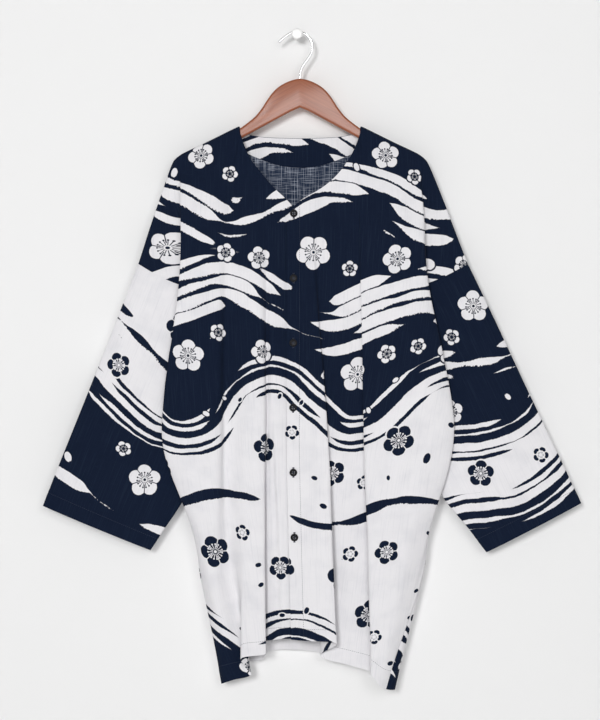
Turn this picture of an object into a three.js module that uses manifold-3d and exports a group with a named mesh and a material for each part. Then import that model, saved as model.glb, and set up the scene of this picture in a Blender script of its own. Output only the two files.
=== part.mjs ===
// A dabo shirt, the loose collarless button-front shirt of Japanese festival dress, hanging on a
// flat wooden hanger whose wire hook rests on a round wall peg.
//
// Millimetres. +Z is up, the wall is the plane y = 0 and the front of the shirt faces -Y.
// The origin is the middle of the peg's back face, on the wall. Left and right are the wearer's.
// The shirt and hanger are described from their own centre line: "s" is the distance from it
// towards the panel's own side, and becomes +x on the wearer's left and -x on the wearer's right.

import * as THREE from "three";
import Module from "manifold-3d";
import { mergeVertices } from "three/addons/utils/BufferGeometryUtils.js";

const wasm = await Module();
wasm.setup();

// ---------- driving dimensions ----------

const CLOTH = 1.2; // wall of every cloth piece
const DOUBLE = 0.5; // how far hems and the button stand are raised by their second layer
const SEAM_GAP = 0.3; // between pieces that are sewn or that touch
const CENTRE_X = 4.5; // the shirt and hanger hang this far beside the peg
const HANG_Y = -28; // plane of the hanger
const SEAM_Y = -31; // shoulder seam, a little in front of the ridge

const NECK_S = 92; // half the neck opening, at the shoulder
const NECK_Z = -139.5; // height of the neck points
const TIP_S = 189; // where the shoulder leaves the hanger's end
const SHOULDER_SLOPE = 0.487;

const BUTTON = { diameter: 11.5, thickness: 2.2, first: -272, pitch: 96.5, count: 6, s: -9.5 };

// ---------- materials ----------

const cotton = new THREE.MeshStandardMaterial({ color: 0x1c2740, roughness: 0.92, side: THREE.DoubleSide });
const paleCotton = new THREE.MeshStandardMaterial({ color: 0xe4e4e8, roughness: 0.92 });
const horn = new THREE.MeshStandardMaterial({ color: 0x2a2c35, roughness: 0.45 });
const lacquer = new THREE.MeshStandardMaterial({ color: 0x6e2f1c, roughness: 0.3 });
const steel = new THREE.MeshStandardMaterial({ color: 0xc9cbce, roughness: 0.25, metalness: 1 });
const whitePaint = new THREE.MeshStandardMaterial({ color: 0xf2f2f0, roughness: 0.4 });

// ---------- curves through tables ----------

const lerp = (a, b, t) => a + (b - a) * t;
const clamp01 = (t) => Math.min(1, Math.max(0, t));

// Slope at each knot: free (Catmull-Rom) where firm is 0, without overshoot where firm is 1.
function slopes(knots, values, firm) {
  const rise = values.slice(1).map((v, i) => (v - values[i]) / (knots[i + 1] - knots[i]));
  return values.map((_, i) => {
    if (i === 0) return rise[0];
    if (i === values.length - 1) return rise[i - 1];
    const free = (values[i + 1] - values[i - 1]) / (knots[i + 1] - knots[i - 1]);
    const [a, b] = [rise[i - 1], rise[i]];
    const kept = a * b <= 0 ? 0 : (2 * a * b) / (a + b);
    return lerp(free, kept, firm);
  });
}

function curve(knots, values, t, firm = 1) {
  const last = knots.length - 2;
  let i = knots.findIndex((k, n) => n > 0 && t <= k) - 1;
  if (i < 0) i = t <= knots[0] ? 0 : last;
  const m = slopes(knots, values, firm);
  const h = knots[i + 1] - knots[i];
  const x = clamp01((t - knots[i]) / h);
  const [x2, x3] = [x * x, x * x * x];
  return (
    values[i] * (2 * x3 - 3 * x2 + 1) +
    m[i] * h * (x3 - 2 * x2 + x) +
    values[i + 1] * (3 * x2 - 2 * x3) +
    m[i + 1] * h * (x3 - x2)
  );
}

const column = (table, n) => table.map((row) => row[n]);

// ---------- the shirt's edges ----------

// Front neckline of one half: s, y, z from the button edge up to the neck point.
const FRONT_NECK = [
  [-20, -51.5, -266],
  [0, -51, -256],
  [18, -50, -246],
  [40, -48, -228],
  [60, -46, -208],
  [75, -44, -188],
  [85, -40.5, -163],
  [89.5, -37.4, -151],
  [91.2, -36, -143],
  [NECK_S, SEAM_Y, NECK_Z],
];
const OVERLAP_LIFT = 2.8; // the upper front's edge stands this far off the lower one

// Back neckline of one half, from the centre to the neck point.
const BACK_NECK = [
  [0, -16, -155],
  [40, -16.2, -154],
  [70, -16.8, -151.5],
  [84, -17.8, -149],
  [89, -19, -146],
  [90.6, -20.8, -143],
  [91.4, -23.4, -140.9],
  [NECK_S, SEAM_Y, NECK_Z],
];

// The fold along the top of the sleeve, from the hanger's end to the armhole seam: share, s, z.
const CREASE = {
  right: [
    [0, TIP_S, -190],
    [0.12, 198, -206],
    [0.35, 208, -240],
    [0.7, 226, -293],
    [1, 243, -346],
  ],
  left: [
    [0, TIP_S, -190],
    [0.12, 199, -207],
    [0.35, 212, -242],
    [0.7, 231, -292],
    [1, 252, -346],
  ],
};

// Where the armhole ends under the arm.
const UNDERARM = { right: { s: 151, z: -385 }, left: { s: 152, z: -385 } };
const ARMHOLE_Y = -32; // middle of the flattened armhole and sleeve
const ARMHOLE_HALF_DEPTH = 7.5;
const CREASE_HALF_GAP = 1;

const ridgeZ = (s) => NECK_Z - (s - NECK_S) * SHOULDER_SLOPE;

// Point of the armhole seam: share 0 at the crease, 1 under the arm; face -1 front, +1 back.
function armhole(side, share, face) {
  const top = CREASE[side].at(-1);
  const bulge = Math.sin(Math.PI * share) ** 0.8 * ARMHOLE_HALF_DEPTH;
  return [
    lerp(top[1], UNDERARM[side].s, share),
    ARMHOLE_Y + face * (CREASE_HALF_GAP + bulge),
    lerp(top[2], UNDERARM[side].z, share) - 6 * Math.sin(Math.PI * share),
  ];
}

// ---------- body panels ----------

// A panel is drawn by guide lines that run from its top edge to its hem. Each level below the
// shoulder has a share of the way down and, for most guides, one height.
const LEVEL = { top: 0, crown: 0.02, brow: 0.045, chest: 0.27, waist: 0.55, hip: 0.78, hem: 1 };
const LEVEL_KNOTS = Object.values(LEVEL);
const CHEST_Z = -330;
const WAIST_Z = -595;
const HIP_Z = -760;

// Columns of every panel table: the guide, s at the top edge (or its share of the crease for the
// last four), then s and y at chest, waist and hip, and s, y and z at the hem.
const FRONT_RIGHT = [
  ["edge", -8, -8, -49.5, -8, -53, -8, -55, -10, -56, -907],
  ["bed", 18, 18, -49.5, 17, -53, 14, -55, 12, -56, -906],
  ["crease", 38, 42, -50.5, 40, -55, 34, -54, 31, -53, -907],
  ["return", 50, 50, -49.5, 50, -47, 60, -43, 67, -39, -916],
  ["pleatEdge", 62, 60, -52, 55, -58, 53, -62, 52, -64, -927],
  ["pleatSide", 76, 82, -52.5, 79, -58, 82, -61, 88, -60, -935],
  ["hollow", 89.5, 108, -51, 111, -49, 107, -47.5, 73, -44, -961],
  ["rib", NECK_S, 124, -55, 125, -60, 126, -58, 100, -47, -969],
  ["front", 140, 158, -57, 175, -61, 144, -56.5, 111, -45, -973],
  ["foldEdge", 180, 178, -55, 206, -51, 156, -46, 117, -39, -976],
  ["tuck", 0, 166, -43, 178, -42, 157, -39, 117.5, -36, -976],
  ["lobeUpper", 0.35, 160, -40, 163, -39, 156, -36.4, 117, -35, -975.6],
  ["lobeLower", 0.7, 155, -37, 148, -36, 154, -34.2, 116.5, -33.9, -975.3],
  ["side", 1, 151, -34, 132, -33.4, 151, -32.6, 116, -32.9, -975],
];

const FRONT_LEFT = [
  ["edge", -20, -20, -53.5, -20, -57, -17, -59, -13, -60, -906.5],
  ["stitch", 2, 1, -54, 2, -58, 4, -61, 7, -63, -908],
  ["pleatEdge", 24, 18, -56, 39, -62, 46.5, -66, 54, -67, -911.5],
  ["return", 36, 28, -53, 36, -49, 36, -43, 30, -38, -935],
  ["flat", 58, 58, -52.5, 66, -49, 73, -45, 73, -40, -948],
  ["under", 80, 90, -53, 103, -48, 111, -44, 118, -41, -961],
  ["stepEdge", 89.5, 91, -56, 96, -57.5, 101, -58.5, 106, -57, -959],
  ["neck", NECK_S, 116, -57.5, 130, -62, 125, -62, 112, -60, -967],
  ["front", 140, 152, -59, 190, -65, 160, -61, 117.5, -58.5, -975],
  ["foldEdge", 180, 184, -57, 229, -53, 187, -48, 122, -56.5, -979],
  ["tuck", 0, 170, -46, 200, -44, 190, -41, 124, -55.5, -980],
  ["lobeUpper", 0.35, 164, -42.5, 180, -41, 190.5, -38.5, 125, -54.8, -980.5],
  ["lobeLower", 0.7, 158, -39, 165, -38, 190, -35.8, 126, -54.2, -981],
  ["side", 1, 152, -34.4, 150, -34, 189.5, -33.2, 126.8, -53.6, -981],
];

const BACK_RIGHT = [
  ["centre", 0, 0, -14, 0, -13, 0, -17, 0, -20, -928],
  ["rib", 28, 30, -12, 34, -8.5, 38, -10, 43, -11, -931],
  ["hollow", 54, 58, -15, 66, -18, 68, -22, 59, -24, -943],
  ["ridge", 88.5, 90, -13, 104, -9, 98, -10, 85, -9, -949],
  ["collar", 90.9, 105, -14, 119, -11, 109, -13, 95, -13, -957],
  ["nape", NECK_S, 120, -15, 134, -17, 118, -18, 102, -18, -964],
  ["blade", 140, 154, -13, 174, -9, 140, -12, 110, -15, -971],
  ["foldEdge", 180, 175, -13, 202, -13, 152, -18, 114.5, -22, -975],
  ["tuck", 0, 165, -20, 176, -21, 155, -23.5, 116.5, -26, -975.5],
  ["lobeUpper", 0.35, 160, -24, 161, -24.5, 155, -26.5, 117, -28.5, -975.5],
  ["lobeLower", 0.7, 155, -27, 146, -28, 153.5, -29, 116.7, -29, -975.3],
  ["side", 1, 151, -29.8, 132, -30.8, 151, -30.6, 116, -30.2, -975],
];

const BACK_LEFT = [
  ["centre", 0, 0, -14, 0, -13, 0, -17, 0, -20, -928],
  ["rib", 28, 32, -12, 38, -9, 36, -9, 30, -11, -934.5],
  ["hollow", 54, 60, -15, 74, -18, 74, -22, 58, -24, -939],
  ["ridge", 88.5, 92, -13, 112, -9, 112, -9, 93, -9, -951],
  ["collar", 90.9, 107, -14, 130, -11.5, 126, -12, 105, -12.5, -961],
  ["nape", NECK_S, 122, -15, 148, -17, 140, -18, 116, -18, -969],
  ["blade", 140, 158, -13, 195, -9, 166, -11, 130, -16, -979],
  ["foldEdge", 180, 180, -13, 225, -13, 186, -17, 139, -25, -984],
  ["tuck", 0, 169, -20, 198, -21, 190.5, -23.5, 141.5, -36, -984.5],
  ["lobeUpper", 0.35, 163, -24, 180, -24.5, 191.5, -26.5, 139.5, -45, -984],
  ["lobeLower", 0.7, 157, -27, 165, -28, 191, -29.5, 134, -51, -983],
  ["side", 1, 152, -29.8, 150, -30.8, 189.5, -31.4, 128.8, -53.3, -982],
];

const CREASE_GUIDES = 4;

// How the cloth bends over the hanger's edge: nearly level at the crown, upright at the brow.
const OVER_HANGER = {
  front: { crownY: -34.6, crownDrop: 2.2, browY: -36.9, browDrop: 9 },
  back: { crownY: -22.9, crownDrop: 0.8, browY: -19.2, browDrop: 9 },
};

// Knots of one guide line as [s, y, z] at each level. face is -1 for the front, +1 for the back.
function guideKnots(row, index, table, side, face) {
  const [, topS, chestS, chestY, waistS, waistY, hipS, hipY, hemS, hemY, hemZ] = row;
  const onCrease = index - (table.length - CREASE_GUIDES);
  const seamY = SEAM_Y + face * (SEAM_GAP + 0.1) * 0.5;
  const shoulder = onCrease >= 0 || topS >= NECK_S;
  const neck = face < 0 ? FRONT_NECK : BACK_NECK;
  let top;
  if (onCrease >= 0) {
    const crease = CREASE[side];
    const [creaseS, creaseZ] = [1, 2].map((n) => curve(column(crease, 0), column(crease, n), topS));
    const onSleeve = onCrease / (CREASE_GUIDES - 1);
    top = [creaseS, lerp(seamY, armhole(side, 0, face)[1], onSleeve), creaseZ];
  } else if (shoulder) {
    top = [topS, seamY, ridgeZ(topS)];
  } else {
    const s = column(neck, 0);
    const lift = table === FRONT_LEFT ? OVERLAP_LIFT * clamp01((50 - topS) / 40) : 0;
    top = [topS, curve(s, column(neck, 1), topS) - lift, curve(s, column(neck, 2), topS)];
  }
  const away = onCrease > 0 ? 0.35 : 1;
  const over = OVER_HANGER[face < 0 ? "front" : "back"];
  const [crownY, browY] = shoulder
    ? [lerp(top[1], over.crownY, away), lerp(top[1], over.browY, away)]
    : [top[1] + face * 0.1, face < 0 ? Math.min(top[1] - 0.6, over.browY) : Math.max(top[1], over.browY)];
  const crown = [lerp(top[0], chestS, 0.02), crownY, top[2] - (shoulder ? over.crownDrop * away : 4)];
  const brow = [lerp(top[0], chestS, 0.05), browY, top[2] - over.browDrop];
  const underarm = clamp01(onCrease / (CREASE_GUIDES - 1));
  const chestZ = onCrease >= 0 ? lerp(CHEST_Z - 4, UNDERARM[side].z, underarm) : CHEST_Z;
  return [
    top,
    crown,
    brow,
    [chestS, chestY, chestZ],
    [waistS, waistY, WAIST_Z],
    [hipS, hipY, HIP_Z],
    [hemS, hemY, hemZ],
  ];
}

// Point of a half panel: u counts guide lines from the first row of its table, v runs from the
// top edge (0) to the hem (1).
function panelPoint(table, side, face, u, v) {
  const knots = table.map((row, i) => guideKnots(row, i, table, side, face));
  const last = table.length - 1;
  const atLevel = knots.map((levels, i) =>
    i === last && v < LEVEL.chest
      ? armhole(side, v / LEVEL.chest, face)
      : [0, 1, 2].map((axis) => curve(LEVEL_KNOTS, column(levels, axis), v)),
  );
  const numbers = table.map((_, i) => i);
  const firm = 1 - clamp01(v / LEVEL.chest);
  return [0, 1, 2].map((axis) => curve(numbers, column(atLevel, axis), u, firm));
}

const toX = (side, s) => (side === "left" ? s : -s);

// Rows of a panel, closer together over the shoulder and at the raised hem.
const HEM_SHARE = 0.028;
const ROWS = [
  0, 0.02, 0.045, 0.085, 0.14, 0.2, 0.27, 0.34, 0.41, 0.48, 0.55, 0.63, 0.705, 0.78, 0.85, 0.91,
  1 - HEM_SHARE - 0.012, 1 - HEM_SHARE, 1,
];

// Guides at which the cloth turns sharply get a column close on each side.
const SHARP = new Set(["pleatEdge", "return", "under", "stepEdge", "rib", "foldEdge"]);
const SHARP_STEP = 0.18;

function columns(table) {
  const last = table.length - 1;
  return table.flatMap(([name], i) => [
    ...(SHARP.has(name) ? [i - SHARP_STEP] : []),
    i,
    ...(SHARP.has(name) ? [i + SHARP_STEP] : []),
    ...(i < last ? [i + 0.5] : []),
  ]);
}

function halfGrid(table, side, face) {
  return columns(table).map((u) =>
    ROWS.map((v) => {
      const [s, y, z] = panelPoint(table, side, face, u, v);
      return new THREE.Vector3(toX(side, s), y, z);
    }),
  );
}

// ---------- solids from grids ----------

// A closed wall from a grid of points on its middle surface. closed joins the last line of
// points to the first, as on a sleeve. outward is a grid point and the direction its outer face
// looks in; raised(i, j) is added to the wall on that face.
function wall(grid, { thickness = CLOTH, raised = () => 0, closed = false, outward }) {
  const nu = grid.length;
  const nv = grid[0].length;
  const line = (i) => (closed ? (i + nu) % nu : Math.min(nu - 1, Math.max(0, i)));
  const at = (i, j) => grid[line(i)][Math.min(nv - 1, Math.max(0, j))];
  const normals = grid.map((run, i) =>
    run.map((_, j) => {
      const along = at(i + 1, j).clone().sub(at(i - 1, j));
      const down = at(i, j + 1).clone().sub(at(i, j - 1));
      return along.cross(down).normalize();
    }),
  );
  const sign = normals[outward.i][outward.j].dot(outward.to) < 0 ? -1 : 1;
  const points = [];
  const id = (layer, i, j) => layer * nu * nv + ((i + nu) % nu) * nv + j;
  for (const layer of [0, 1]) {
    grid.forEach((run, i) =>
      run.forEach((p, j) => {
        const reach = layer === 0 ? thickness / 2 + raised(i, j) : -thickness / 2;
        points.push(p.clone().addScaledVector(normals[i][j], sign * reach));
      }),
    );
  }
  const faces = [];
  const quad = (a, b, c, d) => faces.push(a, b, c, a, c, d);
  const turned = (a, b, c, d) => faces.push(a, b, d, b, c, d);
  const spans = closed ? nu : nu - 1;
  for (let i = 0; i < spans; i++) {
    for (let j = 0; j < nv - 1; j++) {
      // Each square is split along its shorter diagonal, which keeps folds clean.
      const across = at(i, j).distanceTo(at(i + 1, j + 1)) < at(i + 1, j).distanceTo(at(i, j + 1));
      const split = across ? quad : turned;
      split(id(0, i, j), id(0, i + 1, j), id(0, i + 1, j + 1), id(0, i, j + 1));
      split(id(1, i, j), id(1, i, j + 1), id(1, i + 1, j + 1), id(1, i + 1, j));
    }
    quad(id(0, i, 0), id(1, i, 0), id(1, i + 1, 0), id(0, i + 1, 0));
    quad(id(0, i, nv - 1), id(0, i + 1, nv - 1), id(1, i + 1, nv - 1), id(1, i, nv - 1));
  }
  if (!closed) {
    for (let j = 0; j < nv - 1; j++) {
      quad(id(0, 0, j), id(0, 0, j + 1), id(1, 0, j + 1), id(1, 0, j));
      quad(id(0, nu - 1, j), id(1, nu - 1, j), id(1, nu - 1, j + 1), id(0, nu - 1, j + 1));
    }
  }
  return closedGeometry(points, faces);
}

// A geometry whose faces all point out, whichever way round they were listed.
function closedGeometry(points, faces) {
  let volume = 0;
  for (let f = 0; f < faces.length; f += 3) {
    const [a, b, c] = [points[faces[f]], points[faces[f + 1]], points[faces[f + 2]]];
    volume += a.dot(b.clone().cross(c)) / 6;
  }
  if (volume < 0) faces.reverse();
  const geometry = new THREE.BufferGeometry();
  geometry.setAttribute("position", new THREE.Float32BufferAttribute(points.flatMap((p) => p.toArray()), 3));
  geometry.setIndex(faces);
  geometry.computeVertexNormals();
  return geometry;
}

// ---------- body ----------

const FRONT = new THREE.Vector3(0, -1, 0);
const BACK = new THREE.Vector3(0, 1, 0);
const inHem = (j) => j >= ROWS.length - 2;

function frontPanel(table, side) {
  const hasStand = table === FRONT_LEFT; // the upper front carries the folded button stand
  return wall(halfGrid(table, side, -1), {
    raised: (i, j) => (inHem(j) || (hasStand && i < 2) ? DOUBLE : 0),
    outward: { i: 2, j: 10, to: FRONT },
  });
}

function backGrid() {
  const right = halfGrid(BACK_RIGHT, "right", 1);
  const left = halfGrid(BACK_LEFT, "left", 1);
  return [...right.slice(1).reverse(), ...left];
}

function backPanel() {
  const grid = backGrid();
  return wall(grid, {
    raised: (i, j) => (inHem(j) ? DOUBLE : 0),
    outward: { i: Math.floor(grid.length / 2), j: 10, to: BACK },
  });
}

// The facing inside the back neck follows the back panel, moved in, down to a curved lower edge.
const FACING = { guides: 3, share: 0.11, sideShare: 0.078, thickness: 0.8, perGuide: 2, rows: 6 };

function neckFacing() {
  const offset = CLOTH / 2 + SEAM_GAP + FACING.thickness / 2;
  const grid = [];
  const half = FACING.guides * FACING.perGuide;
  for (let i = -half; i <= half; i++) {
    const side = i < 0 ? "right" : "left";
    const table = i < 0 ? BACK_RIGHT : BACK_LEFT;
    const u = Math.abs(i) / FACING.perGuide;
    const depth = lerp(FACING.share, FACING.sideShare, (u / FACING.guides) ** 2);
    grid.push(
      Array.from({ length: FACING.rows + 1 }, (_, j) => {
        const [s, y, z] = panelPoint(table, side, 1, u, 0.004 + (depth * j) / FACING.rows);
        return new THREE.Vector3(toX(side, s), y - offset, z);
      }),
    );
  }
  return wall(grid, { thickness: FACING.thickness, outward: { i: half, j: 3, to: FRONT } });
}

// ---------- sleeves ----------

// Stations down each sleeve: share, then s and z of its outer fold and of its underarm edge, and
// half its depth. The first station is the armhole itself.
const SLEEVE = {
  right: [
    [0, 243, -346, 151, -385, 7.5],
    [0.25, 278, -437, 147, -500, 7.5],
    [0.5, 314, -528, 151, -610, 8],
    [0.75, 350, -618, 170, -688, 9],
    [0.9, 372, -673, 205, -745, 9],
    [1, 386, -710, 226, -776, 8],
  ],
  left: [
    [0, 252, -346, 152, -385, 7.5],
    [0.25, 295, -436, 162, -495, 7.5],
    [0.5, 337, -526, 176, -604, 8],
    [0.75, 380, -616, 212, -691, 9],
    [0.9, 405, -669, 254, -744, 9],
    [1, 422, -706, 281, -779, 8],
  ],
};
const SLEEVE_ROWS = [0, 0.06, 0.13, 0.25, 0.37, 0.5, 0.62, 0.75, 0.86, 0.93, 0.945, 1];
const SLEEVE_AROUND = 24;
const SLEEVE_SHARPNESS = 1.1; // how quickly the two layers close towards the folds
const HELD_SHARE = 0.2; // the armhole's own curve dies out over this share of the sleeve

// Point of a sleeve: turn 0 at the outer fold, 0.5 under the arm; the front is the first half.
function sleevePoint(side, turn, share) {
  const angle = turn * 2 * Math.PI;
  const across = (1 - Math.cos(angle)) / 2;
  const face = Math.sin(angle) >= 0 ? -1 : 1;
  const table = SLEEVE[side];
  const lens = Math.abs(Math.sin(angle)) ** SLEEVE_SHARPNESS;
  const free = (at) => {
    const stations = column(table, 0);
    const values = [1, 2, 3, 4, 5].map((n) => curve(stations, column(table, n), at));
    const [outerS, outerZ, innerS, innerZ, depth] = values;
    const y = ARMHOLE_Y + face * (CREASE_HALF_GAP + depth * lens);
    return [lerp(outerS, innerS, across), y, lerp(outerZ, innerZ, across)];
  };
  const seam = armhole(side, across, face);
  const drop = [SEAM_GAP * 0.5, 0, -SEAM_GAP - 0.25];
  const held = 1 - clamp01(share / HELD_SHARE);
  return free(share).map((value, axis) => value + held * (seam[axis] + drop[axis] - free(0)[axis]));
}

function sleeve(side) {
  const grid = Array.from({ length: SLEEVE_AROUND }, (_, i) =>
    SLEEVE_ROWS.map((share) => {
      const [s, y, z] = sleevePoint(side, i / SLEEVE_AROUND, share);
      return new THREE.Vector3(toX(side, s), y, z);
    }),
  );
  return wall(grid, {
    closed: true,
    raised: (i, j) => (j >= SLEEVE_ROWS.length - 2 ? DOUBLE : 0),
    outward: { i: Math.round(SLEEVE_AROUND / 4), j: 6, to: FRONT },
  });
}

// ---------- buttons ----------

function solidOf(geometry) {
  const bare = new THREE.BufferGeometry().setAttribute("position", geometry.getAttribute("position"));
  if (geometry.index) bare.setIndex(geometry.index);
  const merged = mergeVertices(bare, 1e-4);
  const mesh = new wasm.Mesh({
    numProp: 3,
    vertProperties: merged.attributes.position.array,
    triVerts: new Uint32Array(merged.index.array),
  });
  return new wasm.Manifold(mesh);
}

function geometryOf(solid) {
  const mesh = solid.getMesh();
  const geometry = new THREE.BufferGeometry();
  geometry.setAttribute("position", new THREE.BufferAttribute(new Float32Array(mesh.vertProperties), 3));
  geometry.setIndex(new THREE.BufferAttribute(new Uint32Array(mesh.triVerts), 1));
  geometry.computeVertexNormals();
  return geometry;
}

// A dished four-hole button, its axis along y and its face towards -y.
function buttonGeometry() {
  const r = BUTTON.diameter / 2;
  const t = BUTTON.thickness;
  const profile = [
    [0, 0],
    [r - 1.2, 0],
    [r, -0.8],
    [r - 0.1, -t + 0.5],
    [r - 0.9, -t],
    [r - 1.7, -t + 0.7],
    [0, -t + 0.8],
  ].map(([radius, y]) => new THREE.Vector2(Math.max(radius, 0), y));
  let solid = solidOf(new THREE.LatheGeometry(profile.reverse(), 12));
  for (const sx of [-1, 1]) {
    for (const sz of [-1, 1]) {
      const hole = new THREE.CylinderGeometry(0.8, 0.8, 6, 4).translate(sx * 1.25, 0, sz * 1.25);
      solid = solid.subtract(solidOf(hole));
    }
  }
  return geometryOf(solid);
}

// Middle surface of the button stand at a height, with its outward direction.
function standAt(s, z) {
  const edge = FRONT_LEFT[0];
  const find = (u) => {
    let [low, high] = [0, 1];
    for (let n = 0; n < 30; n++) {
      const v = (low + high) / 2;
      if (panelPoint(FRONT_LEFT, "left", -1, u, v)[2] > z) low = v;
      else high = v;
    }
    return panelPoint(FRONT_LEFT, "left", -1, u, low);
  };
  const span = FRONT_LEFT[1][1] - edge[1];
  const u = (s - edge[1]) / span;
  const [left, middle, right] = [find(u - 0.2), find(u), find(u + 0.2)];
  return { y: middle[1], s: middle[0], turn: Math.atan2(right[1] - left[1], right[0] - left[0]) };
}

// ---------- hanger and peg ----------

// Outline of the wooden hanger: s and z of the top edge from the middle to the end.
const HANGER_TOP = [
  [0, -67],
  [16, -70.5],
  [32, -79],
  [42.5, -89],
  [51, -101],
  [58.5, -112.5],
  [68, -124],
  [78, -132.5],
  [89, -140.7],
];
const HANGER = { end: 185, thickness: 11, round: 3.2, restGap: 2, apexZ: -109, lowerSlope: 0.54 };

function hangerWood() {
  const topEnd = new THREE.Vector2(HANGER.end - 5, ridgeZ(HANGER.end - 5) - HANGER.restGap);
  const lowZ = (s) => HANGER.apexZ - HANGER.lowerSlope * s;
  const inset = HANGER.round; // the extrusion's bevel grows the outline back by this much
  const rightHalf = HANGER_TOP.slice(1).map(([s, z]) => new THREE.Vector2(-s, z)).reverse();
  const leftHalf = HANGER_TOP.map(([s, z]) => new THREE.Vector2(s, z));
  const crown = new THREE.SplineCurve([...rightHalf, ...leftHalf]);
  const upper = crown.getSpacedPoints(36);
  const outline = [
    ...upper,
    topEnd,
    new THREE.Vector2(HANGER.end - 1, topEnd.y - 6),
    new THREE.Vector2(HANGER.end, topEnd.y - 11),
    new THREE.Vector2(HANGER.end - 1.5, topEnd.y - 17),
    new THREE.Vector2(HANGER.end - 6, lowZ(HANGER.end - 6)),
    new THREE.Vector2(0, HANGER.apexZ),
  ];
  const mirrored = outline.slice(upper.length, -1).map((p) => new THREE.Vector2(-p.x, p.y)).reverse();
  const inward = insetOutline([...outline, ...mirrored], inset);
  const board = new THREE.ExtrudeGeometry(new THREE.Shape(inward), {
    depth: HANGER.thickness - 2 * HANGER.round,
    bevelThickness: HANGER.round,
    bevelSize: HANGER.round,
    bevelSegments: 3,
    steps: 1,
  });
  // Extruded along z, then turned so that the outline stands up and the board's middle is at HANG_Y.
  board.translate(0, 0, -(HANGER.thickness - 2 * HANGER.round) / 2).rotateX(Math.PI / 2);
  return board.translate(0, HANG_Y, 0);
}

// A closed outline (in s and z) moved in by a distance, corner by corner.
function insetOutline(points, distance) {
  const count = points.length;
  let area = 0;
  points.forEach((p, i) => {
    const q = points[(i + 1) % count];
    area += p.x * q.y - q.x * p.y;
  });
  const turn = area > 0 ? 1 : -1;
  return points.map((p, i) => {
    const before = points[(i + count - 1) % count].clone().sub(p).negate().normalize();
    const after = points[(i + 1) % count].clone().sub(p).normalize();
    const [n1, n2] = [before, after].map((d) => new THREE.Vector2(-d.y, d.x).multiplyScalar(turn));
    const middle = n1.clone().add(n2).normalize();
    const stretch = 1 / Math.max(0.5, middle.dot(n1));
    return p.clone().addScaledVector(middle, distance * stretch);
  });
}

const WIRE = { radius: 1.75, sides: 8, steps: 40 };
const HOOK = { s: -CENTRE_X, z: -19, radius: 23.5 };

// The wire hook, from its open end over the peg and down in an S to the wood.
function hangerHook() {
  const onRing = (degrees) => [
    HOOK.s + HOOK.radius * Math.cos(THREE.MathUtils.degToRad(degrees)),
    HOOK.z + HOOK.radius * Math.sin(THREE.MathUtils.degToRad(degrees)),
  ];
  const route = [
    [-32.5, -13],
    [-28, -7.5],
    ...[138, 120, 105, 90, 75, 55, 35, 15, -5, -25].map(onRing),
    [8.6, -41],
    [2.6, -50],
    [0.2, -59],
    [0, HANGER_TOP[0][1] + SEAM_GAP + 0.25],
  ];
  const path = new THREE.CatmullRomCurve3(route.map(([s, z]) => new THREE.Vector3(s, HANG_Y, z)));
  const section = new THREE.Shape().absarc(0, 0, WIRE.radius, 0, 2 * Math.PI);
  const ring = section.getPoints(WIRE.sides / 2).slice(0, WIRE.sides);
  return new THREE.ExtrudeGeometry(new THREE.Shape(ring), { steps: WIRE.steps, extrudePath: path });
}

const PEG = { flange: 4.2, flangeDepth: 1.5, stem: 2.45, head: 8, headFrom: 31.5, headTo: 37 };

// The peg, turned about y: a small flange on the wall, a thin stem and a round head.
function wallPeg() {
  const profile = [
    [0, -PEG.headTo],
    [PEG.head - 2.2, -PEG.headTo],
    [PEG.head - 0.6, -PEG.headTo + 0.6],
    [PEG.head, -PEG.headTo + 2],
    [PEG.head, -PEG.headFrom - 0.8],
    [PEG.head - 0.8, -PEG.headFrom],
    [PEG.stem, -PEG.headFrom],
    [PEG.stem, -PEG.flangeDepth],
    [PEG.flange - 0.6, -PEG.flangeDepth],
    [PEG.flange, -PEG.flangeDepth + 0.6],
    [PEG.flange, 0],
    [0, 0],
  ].map(([radius, y]) => new THREE.Vector2(radius, y));
  return new THREE.LatheGeometry(profile, 24);
}

// ---------- assembly ----------

const part = new THREE.Group();
const hung = new THREE.Group(); // all that hangs from the peg
hung.position.x = CENTRE_X;
part.add(hung);

function addMesh(parent, name, geometry, material) {
  const mesh = new THREE.Mesh(geometry, material);
  mesh.name = name;
  parent.add(mesh);
  return mesh;
}

addMesh(hung, "front_right", frontPanel(FRONT_RIGHT, "right"), paleCotton);
addMesh(hung, "front_left", frontPanel(FRONT_LEFT, "left"), cotton);
addMesh(hung, "back", backPanel(), cotton);
addMesh(hung, "back_neck_facing", neckFacing(), cotton);
addMesh(hung, "sleeve_right", sleeve("right"), paleCotton);
addMesh(hung, "sleeve_left", sleeve("left"), cotton);

for (let n = 0; n < BUTTON.count; n++) {
  const z = BUTTON.first - n * BUTTON.pitch;
  const seat = standAt(BUTTON.s, z);
  const button = addMesh(hung, `button_${n + 1}`, buttonGeometry(), horn);
  button.position.set(seat.s, seat.y - CLOTH / 2 - DOUBLE - SEAM_GAP, z);
  button.rotation.z = seat.turn;
}

addMesh(hung, "hanger_wood", hangerWood(), lacquer);
addMesh(hung, "hanger_hook", hangerHook(), steel);
addMesh(part, "wall_peg", wallPeg(), whitePaint);

export default part;
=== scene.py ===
# %% [markdown]
# # A dabo shirt on its hanger
# A dabo shirt is the loose, collarless, buttoned shirt of Japanese festival dress. It is cut from
# straight widths of slubbed cotton, so on a hanger it falls in a few long folds. The solid model
# already has those folds in every panel. Here each panel becomes thin cloth again: a fine grid of
# points on the same form, with small creases, turned hems, stitches and a printed pattern.
# The frame is loaded first. It fixes where everything is, in metres, with Z up.

# %% Load the fixed frame
import math

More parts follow.
